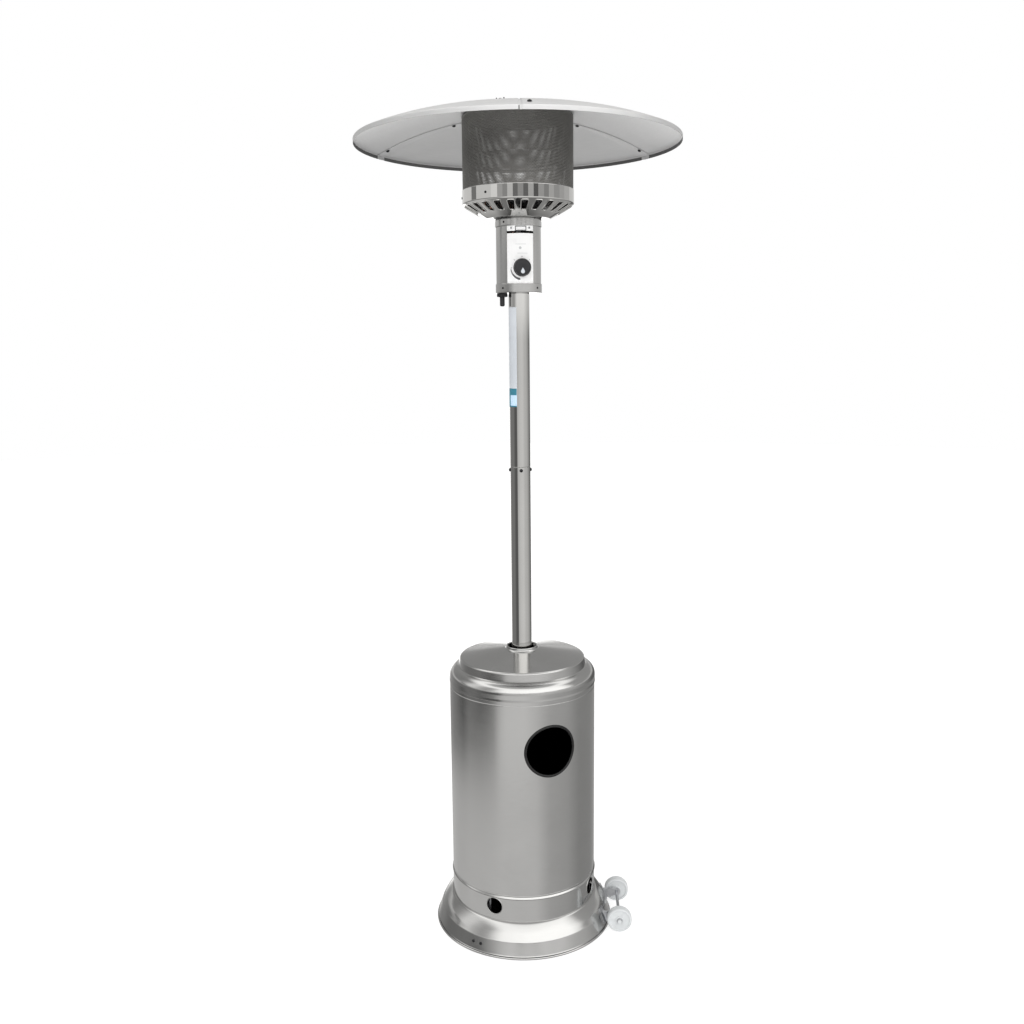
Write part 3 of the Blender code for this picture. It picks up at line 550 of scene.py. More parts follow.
def galvanised(name):
    """Zinc coating with its spangle of flat crystals."""
    made, tree, shader = finish(name, 0.4, 1.0)
    crystals = node(tree, "TexVoronoi", {"Vector": object_point(tree), "Scale": 160.0})
    split = node(tree, "SeparateColor", {"Color": crystals.outputs["Color"]})
    shade = split.outputs[0]
    wire(tree, shader, tinted(tree, shade, (0.42, 0.43, 0.45), (0.60, 0.61, 0.62)),
         spread(tree, shade, 0.32, 0.5), shade, 0.05)
    return made


def braided(name):
    """A woven glass-fibre sleeve."""
    made, tree, shader = finish(name, 0.6, 0.0)
    weave = node(tree, "TexChecker", {"Vector": object_point(tree), "Scale": 1600.0}).outputs["Fac"]
    wire(tree, shader, tinted(tree, weave, (0.30, 0.05, 0.04), (0.50, 0.10, 0.07)), None, weave, 0.4)
    return made


CAST = dict(metallic=1.0, mottle=(60.0, 4.0, 0.6), grain=840.0, strength=0.15)
# What makes each finish, its darkest and lightest colour, its smoothest and roughest, and the rest.
FINISHES = {
    "brushed_steel": (ring_metal, (0.52, 0.518, 0.51), (0.57, 0.568, 0.56), 0.13, 0.19,
                      dict(strength=0.035, wave=0.5, shade=inside_shade)),
    "polished_steel": (ring_metal, (0.63, 0.625, 0.61), (0.69, 0.685, 0.67), 0.02, 0.035,
                       dict(strength=0.015, wave=1.5, shade=neck_shade)),
    "reflector_aluminium": (ring_metal, (0.68, 0.68, 0.68), (0.76, 0.76, 0.76), 0.50, 0.58,
                            dict(fine=500.0, strength=0.06, shade=lip_shade, metallic=0.8)),
    "emitter_mesh": (ring_metal, (0.24, 0.235, 0.225), (0.34, 0.333, 0.318), 0.42, 0.55, dict(fine=60.0)),
    "panel_steel": (even, (0.91, 0.91, 0.91), (0.95, 0.95, 0.95), 0.26, 0.34, dict(strength=0.03)),
    "galvanised_steel": (galvanised, {}),
    "brass": (even, (0.58, 0.41, 0.17), (0.72, 0.54, 0.26), 0.22, 0.36, CAST),
    "copper": (even, (0.56, 0.27, 0.17), (0.74, 0.40, 0.28), 0.22, 0.38, CAST),
    "cast_alloy": (even, (0.45, 0.45, 0.46), (0.60, 0.60, 0.61), 0.42, 0.58, CAST | dict(strength=0.35)),
    "dark_screw": (even, (0.035, 0.035, 0.037), (0.075, 0.075, 0.08), 0.28, 0.42, CAST),
    "black_plastic": (even, (0.014, 0.014, 0.015), (0.026, 0.026, 0.028), 0.30, 0.40,
                      dict(Specular_IOR_Level=0.35)),
    "black_rubber": (even, (0.008, 0.008, 0.008), (0.016, 0.016, 0.016), 0.22, 0.30,
                     dict(Specular_IOR_Level=0.3)),
    "light_plastic": (even, (0.58, 0.60, 0.61), (0.64, 0.66, 0.67), 0.40, 0.52, {}),
    "ceramic": (even, (0.80, 0.78, 0.72), (0.88, 0.86, 0.81), 0.20, 0.30, dict(Coat_Weight=0.5)),
    "lead_sleeve": (braided, {}),
    "white_film": (even, (0.55, 0.58, 0.62), (0.61, 0.64, 0.68), 0.28, 0.36, {}),
    "teal_print": (even, (0.03, 0.17, 0.24), (0.05, 0.24, 0.32), 0.30, 0.38, {}),
    "pale_blue_print": (even, (0.50, 0.70, 0.90), (0.58, 0.76, 0.94), 0.30, 0.38, {}),
    "grey_print": (even, (0.08, 0.08, 0.085), (0.12, 0.12, 0.125), 0.34, 0.42, {}),
    "pale_grey_print": (even, (0.52, 0.53, 0.54), (0.58, 0.59, 0.60), 0.34, 0.42, {}),
}
MATERIALS = {name: make(name, *values, **rest) for name, (make, *values, rest) in FINISHES.items()}


def shown(name, mesh, slot, body="root", replaced=(), matrix=None, print_name=None):
    """Makes a finished mesh a piece of the object, on that body and in that slot's material or a print's."""
    mesh.name = name
    piece = new_object(name, mesh)
    if matrix:
        piece.matrix_world = matrix
    mesh.materials.clear()
    mesh.materials.append(MATERIALS[print_name or slot])
    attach(piece, body)
    if replaced:
        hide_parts(*replaced)
    return piece


def in_place_of(cad_node, mesh, matrix=None):
    """Shows a finer mesh for a CAD node, on the same body and in the same material."""
    return shown(f"{cad_node}_detail", mesh, SLOT_OF[cad_node], BODY_OF[cad_node], (cad_node,), matrix)


def turned_in_place(cad_node, outline, reach, segments, matrix=None):
    """Shows a softened outline, turned about Z, for a CAD node."""
    in_place_of(cad_node, turned(softened(outline, reach), segments, matrix))


# ---------------------------------------------------------------- fasteners
def dome(head_r, head_h, shank_r, shank_length):
    """Outline of a domed head with its shank below, head underside at height 0."""
    return [
        (0, -shank_length), (shank_r, -shank_length), (shank_r, 0), (head_r, 0),
        *[(head_r * cos(radians(a)), head_h * (0.25 + 0.75 * sin(radians(a)))) for a in range(0, 90, 15)],
        (0, head_h),
    ]


def cross_screw(head_r, head_h, shank_r, shank_length):
    """A domed screw with a cross recess."""
    head = turned(dome(head_r, head_h, shank_r, shank_length), SMALL)
    w, reach, depth = head_r * 0.14, head_r * 0.52, head_h * 0.55
    plus = [(w, w), (w, reach), (-w, reach), (-w, w), (-reach, w), (-reach, -w),
            (-w, -w), (-w, -reach), (w, -reach), (w, -w), (reach, -w), (reach, w)]
    at_top = Matrix.Translation((0, 0, head_h)) @ Matrix.Rotation(pi / 2, 4, "X")
    return carved(head, extruded(plus, 2 * depth, at_top))


def hex_nut(radius, height, bore):
    """A chamfered hexagon nut standing on height 0."""
    blank = turned(plain_ring(bore, radius * 1.2, 0, height), 6)
    chamfer = [(0, -0.001), (radius * 1.13, -0.001), (radius * 1.18, height * 0.18),
               (radius * 1.18, height * 0.82), (radius * 0.98, height + 0.0002), (0, height + 0.0002)]
    return carved(blank, turned(chamfer, FINE), "INTERSECT")


def dish_height(radius):
    """Height of the dish's top surface at a radius inside its lip."""
    return DISH_APEX - DISH_DROP * (radius / DISH_R) ** DISH_POWER


# ---------------------------------------------------------------- base
def flare_line():
    """The skirt's outside from its hem up to the foot of the collar."""
    hem = [(0.2376, SKIRT_FOOT + 0.0028), HEM_TOP, FLARE_CREASE]
    cone = curve_through([FLARE_CREASE, (0.2160, 0.0605), (0.2010, 0.0775), (COLLAR_R, 0.0805)])
    return softened(hem + cone[1:], 0.0022, 3, closed=False)


def make_base():
    rim = 0.0029
    pan = [(0, PAN_TOP - SHEET), (0.2285, PAN_TOP - SHEET), (0.2318, PAN_TOP - 0.0035), (0.2325, rim)]
    pan += arc((BASE_R - rim, rim), rim, 180, 450, 18)
    pan += [(0.2362, 2 * rim), (0.2345, 0.0075), (0.2330, PAN_TOP), (0, PAN_TOP)]
    in_place_of("base_pan", turned(pan, WIDE))

    bead_r, neck_r = COLLAR_R + 0.0021, 0.1929
    line = flare_line() + [
        (COLLAR_R, COLLAR_TOP - 0.0072), (bead_r, COLLAR_TOP - 0.0056), (bead_r, COLLAR_TOP - 0.0050),
        (HOUSING_R, COLLAR_TOP), (neck_r, COLLAR_TOP), (neck_r, COLLAR_TOP + 0.0150),
    ]
    skirt = turned(walled(softened(line, 0.0008, 2, closed=False)[::-1], SHEET), WIDE)
    vents = [VENT_AZ + 90 * quarter for quarter in range(4)]
    ends = [[polar(COLLAR_R + reach, azimuth, VENT_Z) for reach in (-0.03, 0.03)] for azimuth in vents]
    in_place_of("base_skirt", carved(skirt, bars(ends, VENT_R)))
    bead = round_section(0.0011)
    rims = [ring_on_cylinder(COLLAR_R, VENT_R, azimuth, VENT_Z, FINE, bead) for azimuth in vents]
    shown("skirt_vent_rims", joined(rims), "brushed_steel")

    screw = cross_screw(0.0042, 0.0024, 0.0019, 0.006)
    (hem_r, hem_z), (crease_r, crease_z) = HEM_TOP, FLARE_CREASE
    lean = atan2(hem_r - crease_r, crease_z - hem_z)
    centre_r = crease_r + (crease_z - SKIRT_SCREW_Z) * tan(lean)
    for name in ("skirt_screw_1", "skirt_screw_2"):
        azimuth = degrees(atan2(centre(name).x, -centre(name).y))
        in_place_of(name, screw.copy(), upright(centre_r, azimuth, SKIRT_SCREW_Z, pi / 2 - lean))


def ring_on_cylinder(cylinder_r, ring_r, azimuth, height, steps, section):
    """A bead that follows a round hole's edge in an upright cylinder."""
    points, outward = [], []
    for step in range(steps):
        angle = tau * step / steps
        across = degrees(asin(ring_r * cos(angle) / cylinder_r))
        points.append(polar(cylinder_r, azimuth + across, height + ring_r * sin(angle)))
        outward.append(polar(1.0, azimuth + across))
    return swept(points, outward, section)


def make_legs():
    foot_z = PAN_TOP + 0.0023
    bend, top = 0.0480, high("support_leg_1").z - 0.0020
    middle = [(0.1480, foot_z)]
    middle += arc((0.1720, foot_z + 0.010), 0.010, -90, 0, 8)
    middle += arc((0.1820 - bend, top - bend), bend, 0, 90, 16)
    middle += [(0.0300, top)]
    outline = strap(middle, 0.0020)
    bolt = hex_nut(0.0050, 0.0040, 0.0)
    bolts = []
    for number, azimuth in enumerate(LEG_AZ, 1):
        in_place_of(f"support_leg_{number}", extruded(outline, 0.0250, placed_at(azimuth), 0.0007))
        for radius, height in ((0.1560, foot_z + 0.002), (0.0480, top + 0.0068)):
            bolts.append(moved(bolt, Matrix.Translation(polar(radius, azimuth, height))))
    shown("leg_bolts", joined(bolts), "galvanised_steel")

    spigot = POST_R - POST_WALL - 0.0006
    flange_low, flange_top = low("post_mount").z, low("lower_post").z - 0.0003
    mount = [(0.0200, flange_low), (0.0550, flange_low), (0.0550, flange_top), (spigot, flange_top),
             (spigot, 0.8000), (0.0220, 0.8000), (0.0200, 0.7900)]
    turned_in_place("post_mount", mount, 0.0006, MIDDLE)


# ---------------------------------------------------------------- post
def make_post():
    bore = POST_R - POST_WALL
    lower = plain_ring(bore, POST_R, low("lower_post").z, POST_SEAM)
    turned_in_place("lower_post", lower, 0.0004, MIDDLE)
    foot, top = low("upper_post").z, high("upper_post").z
    inner = bore - 0.0003
    upper = [
        (inner, foot), (inner, POST_SEAM + 0.0004), (POST_R - 0.0003, POST_SEAM + 0.0006),
        (POST_R, POST_SEAM + 0.0014), (POST_R, top), (bore, top), (bore, POST_SEAM + 0.0040),
        (inner - POST_WALL, POST_SEAM - 0.0020), (inner - POST_WALL, foot),
    ]
    turned_in_place("upper_post", upper, 0.0003, MIDDLE)

    screw = cross_screw(0.0046, 0.0040, 0.0020, 0.006)
    for quarter in range(4):
        place = facing_out(POST_R, 90 * quarter, POST_SCREW_Z)
        in_place_of(f"post_screw_{quarter + 1}", screw.copy(), place)

    films = (("post_label", -95, -20, 1.4100, 1.6620, "white_film"),
             ("post_label_band", -95, -22, 1.4100, 1.4570, "teal_print"),
             ("post_label_patch", -66, -22, 1.4130, 1.4400, "pale_blue_print"))
    for layer, (name, first, last, bottom, top, print_name) in enumerate(films):
        radius = POST_R + layer * FILM
        film = sector(plain_ring(radius, radius + FILM, bottom, top), FINE, first, last)
        shown(name, film, "light_plastic", print_name=print_name)


# ---------------------------------------------------------------- cylinder housing
def make_housing():
    inner = HOUSING_R - HOUSING_SHEET
    seam, hem, groove = 0.6670, 0.0030, 0.00035
    wall = [
        (inner, HOUSING_BOTTOM), (HOUSING_R - 0.0003, HOUSING_BOTTOM), (HOUSING_R, HOUSING_BOTTOM + 0.0004),
        (HOUSING_R, HOUSING_BOTTOM + hem), (HOUSING_R - groove, HOUSING_BOTTOM + hem + 0.0004),
        (HOUSING_R, HOUSING_BOTTOM + hem + 0.0010),
        (HOUSING_R, seam - 0.0008), (HOUSING_R - groove, seam), (HOUSING_R, seam + 0.0008),
        (HOUSING_R, HOUSING_TOP), (inner, HOUSING_TOP),
    ]
    hole = bars([(polar(0.150, HAND_AZ, HAND_Z), polar(0.230, HAND_AZ, HAND_Z))], HAND_R, MIDDLE)
    in_place_of("housing_cylinder", carved(turned(wall, WIDE), hole))

    bead = 0.0032
    trim = ring_on_cylinder(HOUSING_R - HOUSING_SHEET / 2, HAND_R - bead - 0.0006, HAND_AZ, HAND_Z, MIDDLE,
                            round_section(bead, 16))
    in_place_of("hand_hole_trim", trim)

    lid_low = low("housing_lid").z
    lid_line = [(0.1952, lid_low), (0.1962, lid_low + 0.0005), (0.1963, lid_low + 0.0016),
                (0.1958, lid_low + 0.0034), (0.1958, 0.6840)]
    lid_line += arc((0.1700, 0.6950), 0.0258, 0, 82, 14)
    lid_line += softened([(0.1704, 0.7222), (0.1700, 0.7250), (0.1670, 0.7425), (0.1640, 0.7442),
                          (0.0450, 0.7640), (0.0425, 0.7660), (0.0420, 0.7705)], 0.0016, 3, closed=False)
    lid_line += arc((0.0401, 0.7701), 0.0020, 20, 160, 6)
    lid_line += [(0.0376, 0.7640)]
    in_place_of("housing_lid", turned(walled(lid_line[::-1], HOUSING_SHEET), WIDE))

    seam_face, half_seam = HOUSING_R + 0.0006, 1.2
    strip = bent_sheet(HOUSING_R - 0.0002, seam_face, HOUSING_BOTTOM + 0.0060, HOUSING_TOP - 0.0130,
                       6, 180 - half_seam, 180 + half_seam)
    shown("housing_back_seam", strip, "brushed_steel", "housing")
    rivet = dome(0.0028, 0.0011, 0.0015, 0.0004)
    heights = [HOUSING_BOTTOM + 0.0300 + step * 0.0920 for step in range(6)]
    rivets = [turned(rivet, SMALL, facing_out(seam_face, 180, height)) for height in heights]
    shown("housing_seam_rivets", joined(rivets), "brushed_steel", "housing")


# ---------------------------------------------------------------- wheels
WHEEL_SIDE = placed_at(WHEEL_AZ)
AXLE_MIDDLE = WHEEL_SIDE @ Matrix.Translation((AXLE_RADIUS, AXLE_SHIFT, AXLE_Z))
ALONG_AXLE = Matrix.Rotation(-pi / 2, 4, "X")
HALF_AXLE = 0.0960


def make_wheel_arms():
    """Two lugs for the axle, each with a foot bent to the skirt's flare."""
    skirt = [(r, z) for r, z in flare_line() if z >= 0.0105]
    clearance = [(r + 0.0006, z) for r, z in skirt]
    clearance = [(0.1800, -0.0100), (BASE_R + 0.0006, -0.0100)] + clearance + [(0.1800, 0.0840)]
    foot_line = strap([(r, z) for r, z in skirt if HEM_TOP[1] < z < 0.0540], ARM_SHEET)
    foot_half = 3.0
    bore = bars([[AXLE_MIDDLE @ Vector((0, end, 0)) for end in (-0.1, 0.1)]], AXLE_R + 0.0003)
    for name, sign in (("wheel_arm_front", -1), ("wheel_arm_rear", 1)):
        tangent = AXLE_SHIFT + sign * ARM_OFFSET
        lug = [(0.2150, 0.0120), (0.2560, 0.0240)]
        lug += arc((AXLE_RADIUS, AXLE_Z), 0.0105, -70, 70, 16)
        lug += [(0.2560, 0.0440), (0.2150, 0.0460)]
        arm = extruded(lug, ARM_SHEET, WHEEL_SIDE @ Matrix.Translation((0, tangent, 0)), 0.0005)
        foot_az = WHEEL_AZ + degrees(asin(tangent / FLARE_CREASE[0])) - foot_half
        arm = carved(arm, sector(foot_line, SMALL, foot_az, foot_az + 2 * foot_half), "UNION")
        arm = carved(arm, turned(clearance, WIDE))
        in_place_of(name, carved(arm, bore))


def make_axle():
    half_rod = WHEEL_OFFSET + WHEEL_WIDTH / 2 + 0.0006
    half_line = [(AXLE_R, half_rod), (0.0078, half_rod), (0.0078, half_rod + 0.0012), (0.0062, HALF_AXLE),
                 (0, HALF_AXLE)]
    rod = [(r, -z) for r, z in reversed(half_line)] + half_line
    turned_in_place("wheel_axle", rod, 0.0006, FINE, AXLE_MIDDLE @ ALONG_AXLE)


def ribbed_wheel():
    """A wheel about Z with six ribs on each side."""
    half = WHEEL_WIDTH / 2
    half_wheel = [(AXLE_R + 0.0003, half), (0.0110, half), (0.0120, half - 0.0026), (0.0262, half - 0.0026),
                  (0.0276, half - 0.0004), (0.0300, half - 0.0004), (WHEEL_R - 0.0004, half - 0.0030)]
    tread = [(WHEEL_R, 0.0060), (WHEEL_R, 0.0008), (WHEEL_R - 0.0005, 0)]
    wheel_line = half_wheel + tread + [(r, -z) for r, z in reversed(half_wheel + tread[:-1])]
    wheel = turned(softened(wheel_line, 0.0006), MIDDLE)
    rib = plain_ring(0.0112, 0.0266, half - 0.0036, half - 0.0018)
    ribs = [extruded(rib, 0.0022, Matrix.Rotation(flip, 4, "X") @ Matrix.Rotation(tau * step / 6, 4, "Z"))
            for flip in (pi, 0.0) for step in range(6)]
    return carved(wheel, joined(ribs), "UNION")


def make_wheels():
    wheel = ribbed_wheel()
    cap = softened([(0, 0), (0.0058, 0), (0.0056, 0.0012), (0.0040, 0.0026), (0, 0.0032)], 0.0006)
    for name, sign in (("wheel_front", -1), ("wheel_rear", 1)):
        place = AXLE_MIDDLE @ Matrix.Translation((0, sign * WHEEL_OFFSET, 0)) @ ALONG_AXLE
        in_place_of(name, wheel.copy(), place)
        place = AXLE_MIDDLE @ Matrix.Translation((0, sign * (HALF_AXLE + 0.0001), 0))
        place = place @ Matrix.Rotation(-sign * pi / 2, 4, "X")
        shown(f"{name}_hub_cap", turned(cap, FINE, place), "light_plastic")


# ---------------------------------------------------------------- control head
def make_head_base():
    sleeve, socket, inside = POST_R + 0.0006, 0.0286, BAND_R - SHEET
    base_floor, base_top = HEAD_BOTTOM + 0.0015, high("head_base").z - 0.0080
    base = [
        (sleeve, HEAD_BOTTOM), (BAND_R, HEAD_BOTTOM), (BAND_R, LOWER_BAND_TOP), (inside, LOWER_BAND_TOP),
        (inside, base_floor), (socket, base_floor), (socket, base_top), (sleeve, base_top),
    ]
    hole = bars([[(IGNITER_X, 0, HEAD_BOTTOM + step) for step in (-0.01, 0.01)]], IGNITER_BORE)
    in_place_of("head_base", carved(turned(softened(base, 0.0009), WIDE), hole))


def make_head_shell():
    """The shell, and in its gap the panel with the strip above it."""
    inner, foot, side = HEAD_R - SHEET, low("head_shell").z, PANEL_HALF_ANGLE
    first = side + degrees(0.0004 / HEAD_R)
    in_place_of("head_shell", bent_sheet(inner, HEAD_R, foot, HEAD_TOP, MIDDLE, first, 360 - first))

    panel = bent_sheet(inner, HEAD_R, foot, high("control_panel").z, FINE, -side, side)
    spindle_hole = 0.0060
    hole = bars([[(KNOB_X, y, KNOB_Z) for y in (-0.070, -0.040)]], spindle_hole)
    in_place_of("control_panel", carved(panel, hole))
    make_panel_print()

    strip = bent_sheet(inner, HEAD_R, low("panel_top_strip").z, HEAD_TOP, FINE, -side, side)
    window = softened(plain_ring(-0.0110, 0.0130, *WINDOW_Z), 0.0016, turned_later=False)
    in_place_of("panel_top_strip", carved(strip, extruded(window, 0.02, Matrix.Translation((0, -HEAD_R, 0)))))
    bottom, top = WINDOW_Z[0] - 0.0014, WINDOW_Z[1] + 0.0023
    backing = sector(plain_ring(HEAD_R - 0.0018, HEAD_R - 0.0012, bottom, top), SMALL, -16, 18)
    shown("panel_window_backing", backing, "panel_steel")


def make_head_collar():
    """The collar with its tabs, and the screws of the whole casing."""
    inside, pipe_hole = BAND_R - SHEET, 0.0320
    bottom, top = low("head_collar").z, high("head_collar").z
    collar = [(BAND_R, bottom), (BAND_R, top), (pipe_hole, top), (pipe_hole, top - 0.0014),
              (inside, top - 0.0014), (inside, bottom)]
    turned_in_place("head_collar", collar, 0.0009, WIDE)

    screw = cross_screw(0.0026, 0.0016, 0.0012, 0.0030)
    tab_face = BAND_R + 0.0008
    collar_z = (bottom + top) / 2
    spots = [(tab_face, -43.0, collar_z), (tab_face, 137.0, collar_z), (BAND_R, 48.0, LOWER_SCREW_Z),
             (BAND_R, -48.0, LOWER_SCREW_Z), (HEAD_R, -23.0, STRIP_SCREW_Z), (HEAD_R, 23.0, STRIP_SCREW_Z)]
    for number, (radius, azimuth, height) in enumerate(spots, 1):
        metal = "galvanised_steel" if radius == HEAD_R else "dark_screw"
        shown(f"casing_screw_{number}", screw.copy(), metal, matrix=facing_out(radius, azimuth, height))
    for number, (first, last) in enumerate(((-56, -23), (-84, -60), (124, 157)), 1):
        tab = bent_sheet(BAND_R, tab_face, bottom + 0.0010, top - 0.0020, SMALL, first, last)
        shown(f"collar_tab_{number}", tab, "brushed_steel")


def make_panel_print():
    """Printed marks on the panel: a growing crescent, four rows of ticks, two lines and a window frame."""
    marks = []
    for step in range(30):
        share = step / 30
        marks.append(panel_dot(*off_knob(DIAL_R, 186 + 72 * share), 0.0010 + 0.0018 * share))
    for angle in (180, 135, 90, 45):
        marks += [panel_dot(*off_knob(0.0255 + 0.0009 * step, angle), 0.0006) for step in range(4)]
    shown("panel_dial_print", joined(marks), "panel_steel", print_name="grey_print")

    lines = [print_bar(-13.0, 14.0, 1.8136, 1.8146), print_bar(-8.0, 18.0, 1.7916, 1.7926),
             panel_dot(-0.0007, 1.8050, 0.0034)]
    shown("panel_line_print", joined(lines), "panel_steel", print_name="pale_grey_print")
    left, right, bottom, top, line = -11.3, 13.3, 1.8482, 1.8560, 0.0020
    across = degrees(line / HEAD_R)
    sides = [(left, right, bottom - line, bottom), (left, right, top, top + line)]
    sides += [(edge, edge + across, bottom - line, top + line) for edge in (left - across, right)]
    frame_bars = joined([print_bar(*side) for side in sides])
    shown("panel_window_frame", frame_bars, "panel_steel", print_name="grey_print")


def print_bar(first, last, bottom, top):
    """A thin printed bar round the panel, between two azimuths and two heights."""
    return sector(plain_ring(PRINT_BACK, PRINT_BACK + PRINT_THICK, bottom, top), 12, first, last)


def off_knob(reach, angle):
    """A place on the panel, that far from the knob's centre, with angle 0 to the right."""
    return KNOB_X + reach * cos(radians(angle)), KNOB_Z + reach * sin(radians(angle))


def panel_dot(across, height, radius):
    """A thin printed dot on the panel."""
    place = facing_out(PRINT_BACK + PRINT_THICK, degrees(across / HEAD_R), height)
    return turned(plain_ring(0, radius, 0, PRINT_THICK), 16, place)


def make_controls():
    back, face = KNOB_BACK, KNOB_FACE
    at_knob = Matrix.Translation((KNOB_X, 0, KNOB_Z)) @ Matrix.Rotation(pi / 2, 4, "X")
    knob = [
        (0.0036, back), (KNOB_R, back), (KNOB_R, back + 0.0030), (0.0207, back + 0.0042),
        (0.0198, face - 0.0028), (0.0180, face - 0.0006), (0.0100, face), (0, face), (0, 0.0723),
        (0.0036, 0.0723),
    ]
    flutes = [[(KNOB_X + x, -end - 0.0050, KNOB_Z + z) for end in (back, face)]
              for x, z in circle(24, 0.0212)]
    knob = turned(softened(knob, 0.0009), MIDDLE, at_knob)
    in_place_of("control_knob", carved(knob, bars(flutes, 0.0012, 12)))
    half_flame = [(0, 0.0070), (0.0034, 0.0014), (0.0048, -0.0026), (0.0032, -0.0060), (0, -0.0070)]
    flame = curve_through(half_flame + [(-x, z) for x, z in half_flame[-2::-1]], 4)[:-1]
    mark = extruded(flame, 0.0003, Matrix.Translation((KNOB_X, -face - 0.00005, KNOB_Z - 0.0085)))
    shown("knob_mark", mark, "black_plastic", "knob", print_name="white_film")

    place = Matrix.Translation((IGNITER_X, 0, 0))
    top, bottom = high("igniter_nut").z, low("igniter_nut").z
    nut_r = high("igniter_nut").x - IGNITER_X
    nut = [(IGNITER_BORE, top), (nut_r, top), (nut_r, bottom + 0.0016), (nut_r - 0.0012, bottom),
           (IGNITER_BORE, bottom)]
    nut = turned(softened(nut, 0.0004), MIDDLE, place)
    grips = [[(IGNITER_X + x, y, end) for end in (bottom - 0.002, top + 0.002)]
             for x, y in circle(16, nut_r + 0.0006)]
    in_place_of("igniter_nut", carved(nut, bars(grips, 0.0011, 12)))
    tip, top = low("igniter_button").z, high("igniter_button").z
    button_r, bend = high("igniter_button").x - IGNITER_X, 0.0040
    button = [(0, top), (button_r, top), *arc((button_r - bend, tip + bend), bend, 0, -90, 6), (0, tip)]
    turned_in_place("igniter_button", button, 0.0004, FINE, place)


# ---------------------------------------------------------------- burner bowl
def cone_height(radius):
    """Height of the bowl's cone at a radius."""
    return BOWL_FLAT_Z + (radius - BOWL_FLAT_R) * (RING_BOTTOM - BOWL_FLAT_Z) / (RING_R - BOWL_FLAT_R)


def slot_outline():
    """A slot's outline in (outward along the cone, across): a sector with round corners."""
    middle_r = (SLOT_INNER + SLOT_OUTER) / 2
    spread_out = tan(radians(SLOT_ANGLE / 2))
    corners = [(r - middle_r, side * r * spread_out)
               for r, side in ((SLOT_INNER, -1), (SLOT_OUTER, -1), (SLOT_OUTER, 1), (SLOT_INNER, 1))]
    return softened(corners, 0.0055, turned_later=False)


def make_bowl():
    lip = 0.0012
    line = [(0.0220, BOWL_FLAT_Z), (BOWL_FLAT_R, BOWL_FLAT_Z), (RING_R, RING_BOTTOM),
            (RING_R, RING_TOP - 0.0020)]
    line = softened(line, 0.0022, 5, closed=False) + arc((RING_R - lip, RING_TOP - lip), lip, 10, 150, 6)
    wall = turned(walled(line[::-1], SHEET), WIDE)
    slope = atan2(RING_BOTTOM - BOWL_FLAT_Z, RING_R - BOWL_FLAT_R)
    middle_r = (SLOT_INNER + SLOT_OUTER) / 2
    cutters, rims = [], []
    outline = slot_outline()
    for number in range(SLOTS):
        azimuth = SLOT_AZ + 360 / SLOTS * number
        place = upright(middle_r, azimuth, cone_height(middle_r), -slope)
        cutters.append(extruded(outline, 0.012, place @ Matrix.Rotation(-pi / 2, 4, "X")))
        points = [place @ Vector((x, y, -0.0002)) for x, y in outline]
        down = (place.to_3x3() @ Vector((0, 0, -1))).normalized()
        rims.append(swept(points, [down] * len(points), round_section(0.0013, 8)))
    in_place_of("burner_bowl", carved(wall, joined(cutters)))
    shown("bowl_slot_rims", joined(rims), "polished_steel")

    screw = cross_screw(0.0030, 0.0018, 0.0012, 0.0030)
    for number, azimuth in enumerate(RING_SCREW_AZ, 1):
        place = facing_out(RING_R, azimuth, RING_SCREW_Z)
        shown(f"ring_screw_{number}", screw.copy(), "dark_screw", matrix=place)
    under = Matrix.Rotation(pi, 4, "X")
    for number, azimuth in enumerate(BOWL_SCREW_AZ, 1):
        place = Matrix.Translation(polar(BOWL_SCREW_R, azimuth, BOWL_FLAT_Z)) @ under
        shown(f"bowl_screw_{number}", screw.copy(), "dark_screw", matrix=place)


# ---------------------------------------------------------------- emitter
def make_screen():
    """Perforated sheet in two rings, one above the other: staggered six-sided holes, plain at the edges."""
    columns, rows, hole = 228, 58, 0.00115
    row_pitch = tau * SCREEN_R / columns * sqrt(3) / 2
    first_z = (SCREEN_BOTTOM + SCREEN_TOP - row_pitch * (rows - 1)) / 2
    half = rows // 2
    middle = first_z + row_pitch * (half - 0.5)
    rings = ((0, SCREEN_BOTTOM, middle), (half, middle, SCREEN_TOP))
    for number, (first, bottom, top) in enumerate(rings, 1):
        heights = [first_z + row_pitch * (first + row) for row in range(half)]
        ring = perforated_ring(columns, heights, hole, bottom, top)
        shown(f"emitter_screen_detail_{number}", ring, "emitter_mesh", "root", ("emitter_screen",))


